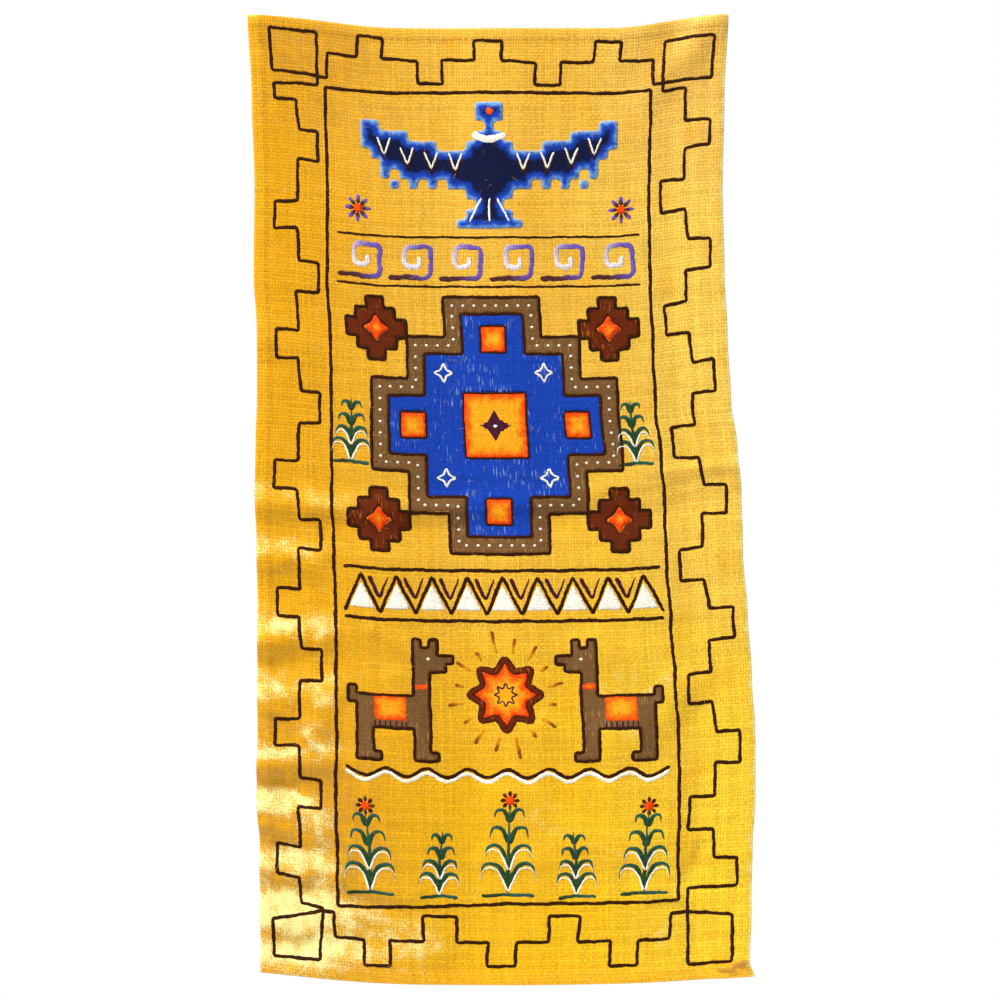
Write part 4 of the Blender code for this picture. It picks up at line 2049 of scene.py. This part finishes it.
@dataclass(frozen=True)
class Threads:
    """Short lengths of thread that geometry nodes repeat, with sizes in millimetres."""

    length: float
    thread: float

    @staticmethod
    def begin(name: str, spacing: str) -> tuple[Graph, Sockets, Sockets]:
        """Starts the tree, whose inputs include one for the spacing."""
        inputs = ["Geometry", spacing, "Length", "Thread", "Seed", "Material"]
        return new_group(name, inputs, ["Geometry"], "GeometryNodeTree")

    @staticmethod
    def between(g: Graph, low: float, high: float, seed: Value = 0) -> NodeSocket:
        """A chance value for each piece."""
        fed = {2: low, 3: high, "Seed": seed}
        return g.node("FunctionNodeRandomValue", fed, data_type="FLOAT").outputs[1]

    @staticmethod
    def end(g: Graph, given: Sockets, out: Sockets, placed: dict[str | int, Value]) -> NodeTree:
        """Ends the tree with its pieces placed, made real and dressed.

        Args:
            g: The tree's graph.
            given: What it is given.
            out: What it puts out.
            placed: The points, the instance, its rotation and its scale.

        Returns:
            The tree.
        """
        pieces = g.node("GeometryNodeInstanceOnPoints", placed).outputs["Instances"]
        real = g.node("GeometryNodeRealizeInstances", {"Geometry": pieces}).outputs["Geometry"]
        fed = {"Geometry": real, "Material": given["Material"]}
        g.feed(out["Geometry"], g.node("GeometryNodeSetMaterial", fed).outputs["Geometry"])
        return g.tree

    def laid(
        self, name: str, mesh: Mesh, tree: NodeTree, spacing: dict[str, float], material: Material
    ) -> Object:
        """Runs the tree on a mesh and keeps the result as a plain mesh.

        Args:
            name: The new piece's name.
            mesh: What it starts from.
            tree: The node tree.
            spacing: The value of its spacing input.
            material: The thread.

        Returns:
            The new piece.
        """
        base = bpy.data.objects.new("base", mesh)
        bpy.context.scene.collection.objects.link(base)
        modifier = base.modifiers.new("nodes", "NODES")
        modifier.node_group = tree
        sizes = {"Length": self.length * MM, "Thread": self.thread * MM}
        values = {**spacing, **sizes, "Seed": SEED, "Material": material}
        for item in tree.interface.items_tree:
            if item.in_out == "INPUT" and item.name in values:
                modifier[item.identifier] = values[item.name]
        graph = bpy.context.evaluated_depsgraph_get()
        result = bpy.data.meshes.new_from_object(base.evaluated_get(graph))
        result.name = name
        piece = bpy.data.objects.new(name, result)
        bpy.context.scene.collection.objects.link(piece)
        bpy.data.objects.remove(base)
        log.info("%s: %d faces", name, len(result.polygons))
        return piece


@dataclass(frozen=True)
class HemStitches(Threads):
    """A running stitch in matching thread that holds the turned hems."""

    length: float = 3.4
    thread: float = 0.24
    inset: float = 10.2
    pitch: float = 7.0
    lift: float = 0.12

    def tree(self) -> NodeTree:
        """The tree that lays one stitch at each space along a line.

        Returns:
            The node tree.
        """
        g, given, out = self.begin("running_stitch", "Pitch")
        line = g.node("GeometryNodeMeshToCurve", {"Mesh": given["Geometry"]}).outputs["Curve"]
        fed = {"Curve": line, "Length": given["Pitch"]}
        spaced = g.node("GeometryNodeCurveToPoints", fed, mode="LENGTH").outputs
        stitch = g.node("GeometryNodeMeshUVSphere", {"Segments": 6, "Rings": 5, "Radius": 1.0})
        uneven = self.between(g, 0.75, 1.15, given["Seed"])
        half = g.times(g.times(given["Length"], 0.5), uneven)
        placed = {
            "Points": spaced["Points"],
            "Instance": stitch.outputs["Mesh"],
            "Rotation": spaced["Rotation"],
            "Scale": g.combined(given["Thread"], given["Thread"], half),
        }
        return self.end(g, given, out, placed)

    def build(self, cloth: Cloth, material: Material) -> Object:
        """Sews round all four hems, through the cloth, so that the back shows it too.

        Args:
            cloth: The hanging cloth.
            material: The thread.

        Returns:
            The stitches as one piece.
        """
        far_x, far_y = cloth.flat_width - self.inset, cloth.flat_length - self.inset
        near = self.inset
        corners = np.array([(near, near), (far_x, near), (far_x, far_y), (near, far_y)])
        line = resampled(corners, 2.0, True)
        count = len(line)
        back = -(cloth.thick + cloth.hem_thick)
        places = [cloth.carry(line, lift) for lift in (self.lift * MM, back)]
        sides = [(k, (k + 1) % count) for k in range(count)]
        sides += [(a + count, b + count) for a, b in sides]
        mesh = bpy.data.meshes.new("hem_line")
        mesh.from_pydata(np.concatenate(places).tolist(), sides, [])
        return self.laid("hem_stitches", mesh, self.tree(), {"Pitch": self.pitch * MM}, material)


@dataclass(frozen=True)
class LooseFibres(Threads):
    """Short jute fibres that stand off the cloth on both sides."""

    length: float = 5.0
    thread: float = 0.09
    per_square_metre: float = 1700.0

    def tree(self) -> NodeTree:
        """The tree that scatters curled fibres over a surface.

        Returns:
            The node tree.
        """
        g, given, out = self.begin("loose_fibres", "Density")
        fed = {"Mesh": given["Geometry"], "Density": given["Density"], "Seed": given["Seed"]}
        points = g.node("GeometryNodeDistributePointsOnFaces", fed).outputs
        curl = {
            "Resolution": 4,
            "Start": (0.0, 0.0, -0.05),
            "Middle": (0.45, 0.05, 0.28),
            "End": (1.0, 0.30, 0.02),
        }
        curl = g.node("GeometryNodeCurveQuadraticBezier", curl).outputs["Curve"]
        slim = g.math("DIVIDE", given["Thread"], given["Length"])
        section = g.node("GeometryNodeCurvePrimitiveCircle", {"Resolution": 3, "Radius": slim})
        fed = {"Curve": curl, "Profile Curve": section.outputs["Curve"], "Fill Caps": True}
        turn = g.combined(0.0, 0.0, self.between(g, 0.0, math.tau, given["Seed"]))
        spun = {"Rotation": points["Rotation"], "Rotate By": turn}
        spun = g.node("FunctionNodeRotateRotation", spun, rotation_space="LOCAL")
        scale = g.times(self.between(g, 0.5, 1.3), given["Length"])
        placed = {
            "Points": points["Points"],
            "Instance": g.node("GeometryNodeCurveToMesh", fed).outputs["Mesh"],
            "Rotation": spun.outputs["Rotation"],
            "Scale": g.combined(scale, scale, scale),
        }
        return self.end(g, given, out, placed)

    def build(self, panel: Object, material: Material) -> Object:
        """Scatters the fibres over the panel.

        Args:
            panel: The cloth.
            material: The thread.

        Returns:
            The fibres as one piece.
        """
        mesh, spacing = panel.data.copy(), {"Density": self.per_square_metre}
        return self.laid("loose_fibres", mesh, self.tree(), spacing, material)


# The picture's stage

Place = tuple[float, float, float]


@dataclass(frozen=True)
class Lamp:
    """A square area light that looks at a point."""

    name: str
    place: Place
    size: float
    watts: float
    colour: Place
    target: Place = (0.0, 0.0, -0.45)


@dataclass(frozen=True)
class Stage:
    """White surroundings, soft light from above left, and a camera face on."""

    middle: Place = (0.0113, 0.0, -0.4437)
    camera_back: float = 2.6
    seen_wide: float = 0.940
    sensor: float = 36.0
    ambient: float = 0.25
    floor_down: float = 1.3
    floor_reach: float = 1.0
    lamps: tuple[Lamp, ...] = (
        Lamp("key", (-3.5, -2.5, 5.0), 1.8, 740.0, (1.0, 0.99, 0.96)),
        Lamp("fill", (2.4, -3.4, 0.2), 2.0, 26.0, (0.97, 0.98, 1.0)),
        Lamp("back", (1.4, 3.0, 0.7), 2.0, 95.0, (1.0, 0.99, 0.97)),
    )

    def build(self) -> None:
        """Makes the world, the lamps, the floor and the camera."""
        scene = bpy.context.scene
        scene.view_settings.view_transform = "Standard"
        world = bpy.data.worlds.new("white_room")
        scene.world = world
        world.use_nodes = True
        g = Graph(world.node_tree)
        into = world.node_tree.nodes["Background"].inputs
        to_camera = g.node("ShaderNodeLightPath").outputs["Is Camera Ray"]
        g.feed(into["Color"], (1.0, 1.0, 1.0, 1.0))
        g.feed(into["Strength"], g.times(to_camera, 1.0 - self.ambient, self.ambient))
        for lamp in self.lamps:
            light = bpy.data.lights.new(lamp.name, "AREA")
            light.size, light.energy, light.color = lamp.size, lamp.watts, lamp.colour
            self.placed(light, lamp.place, lamp.target)
        camera = bpy.data.cameras.new("camera")
        camera.sensor_width = self.sensor
        camera.lens = self.sensor * self.camera_back / self.seen_wide
        x, y, z = self.middle
        scene.camera = self.placed(camera, (x, y - self.camera_back, z), self.middle)
        self.build_floor()

    @staticmethod
    def placed(data: ID, place: Place, target: Place) -> Object:
        """Links a lamp or camera that looks at a point.

        Args:
            data: The light or camera data.
            place: Where it stands.
            target: What it looks at.

        Returns:
            The object.
        """
        made = bpy.data.objects.new(data.name, data)
        made.location = place
        way = Vector(target) - Vector(place)
        made.rotation_euler = way.to_track_quat("-Z", "Y").to_euler()
        bpy.context.scene.collection.objects.link(made)
        return made

    def build_floor(self) -> None:
        """Lays a pale floor well under the hanging."""
        material = bpy.data.materials.new("pale_floor")
        material.use_nodes = True
        shader = material.node_tree.nodes["Principled BSDF"]
        shader.inputs["Base Color"].default_value = seen(236, 234, 230)
        shader.inputs["Roughness"].default_value = 0.9
        reach = self.floor_reach
        corners = [(-reach, -reach), (reach, -reach), (reach, reach), (-reach, reach)]
        places = np.array([(x, y, -self.floor_down) for x, y in corners])
        new_piece("floor", places, [(0, 1, 2, 3)], material)


@dataclass
class Hanging:
    """The whole hanging."""

    cloth: Cloth = field(default_factory=Cloth)
    finishes: Finishes = field(default_factory=Finishes)
    palette: Palette = field(default_factory=Palette)
    motifs: tuple[type[Motif], ...] = (
        SteppedBorder,
        SteppedBird,
        ScrollBand,
        SteppedCross,
        ZigzagBand,
        LlamaPair,
        Sprigs,
    )
    stitches: HemStitches = HemStitches()
    fibres: LooseFibres = LooseFibres()

    def build(self) -> None:
        """Builds every piece and says what it rides on."""
        panel = self.cloth.build(self.finishes.burlap())
        log.info("%s: %d faces", panel.name, len(panel.data.polygons))
        for motif in self.motifs:
            motif(self.palette).paint()
            log.info("painted %s", motif.__name__)
        fittings = []
        for film in vars(self.palette).values():
            fittings.append(film.build(self.cloth, self.finishes))
        thread = self.finishes.thread()
        for piece in (self.stitches.build(self.cloth, thread), self.fibres.build(panel, thread)):
            fittings.append(piece)
        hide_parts("cloth")
        for piece in (panel, *fittings):
            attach(piece, BODY)


def main() -> None:
    """Builds the hanging and its stage."""
    logging.basicConfig(level=logging.INFO, format="%(name)s: %(message)s")
    Hanging().build()
    Stage().build()


if __name__ == "__main__":
    main()
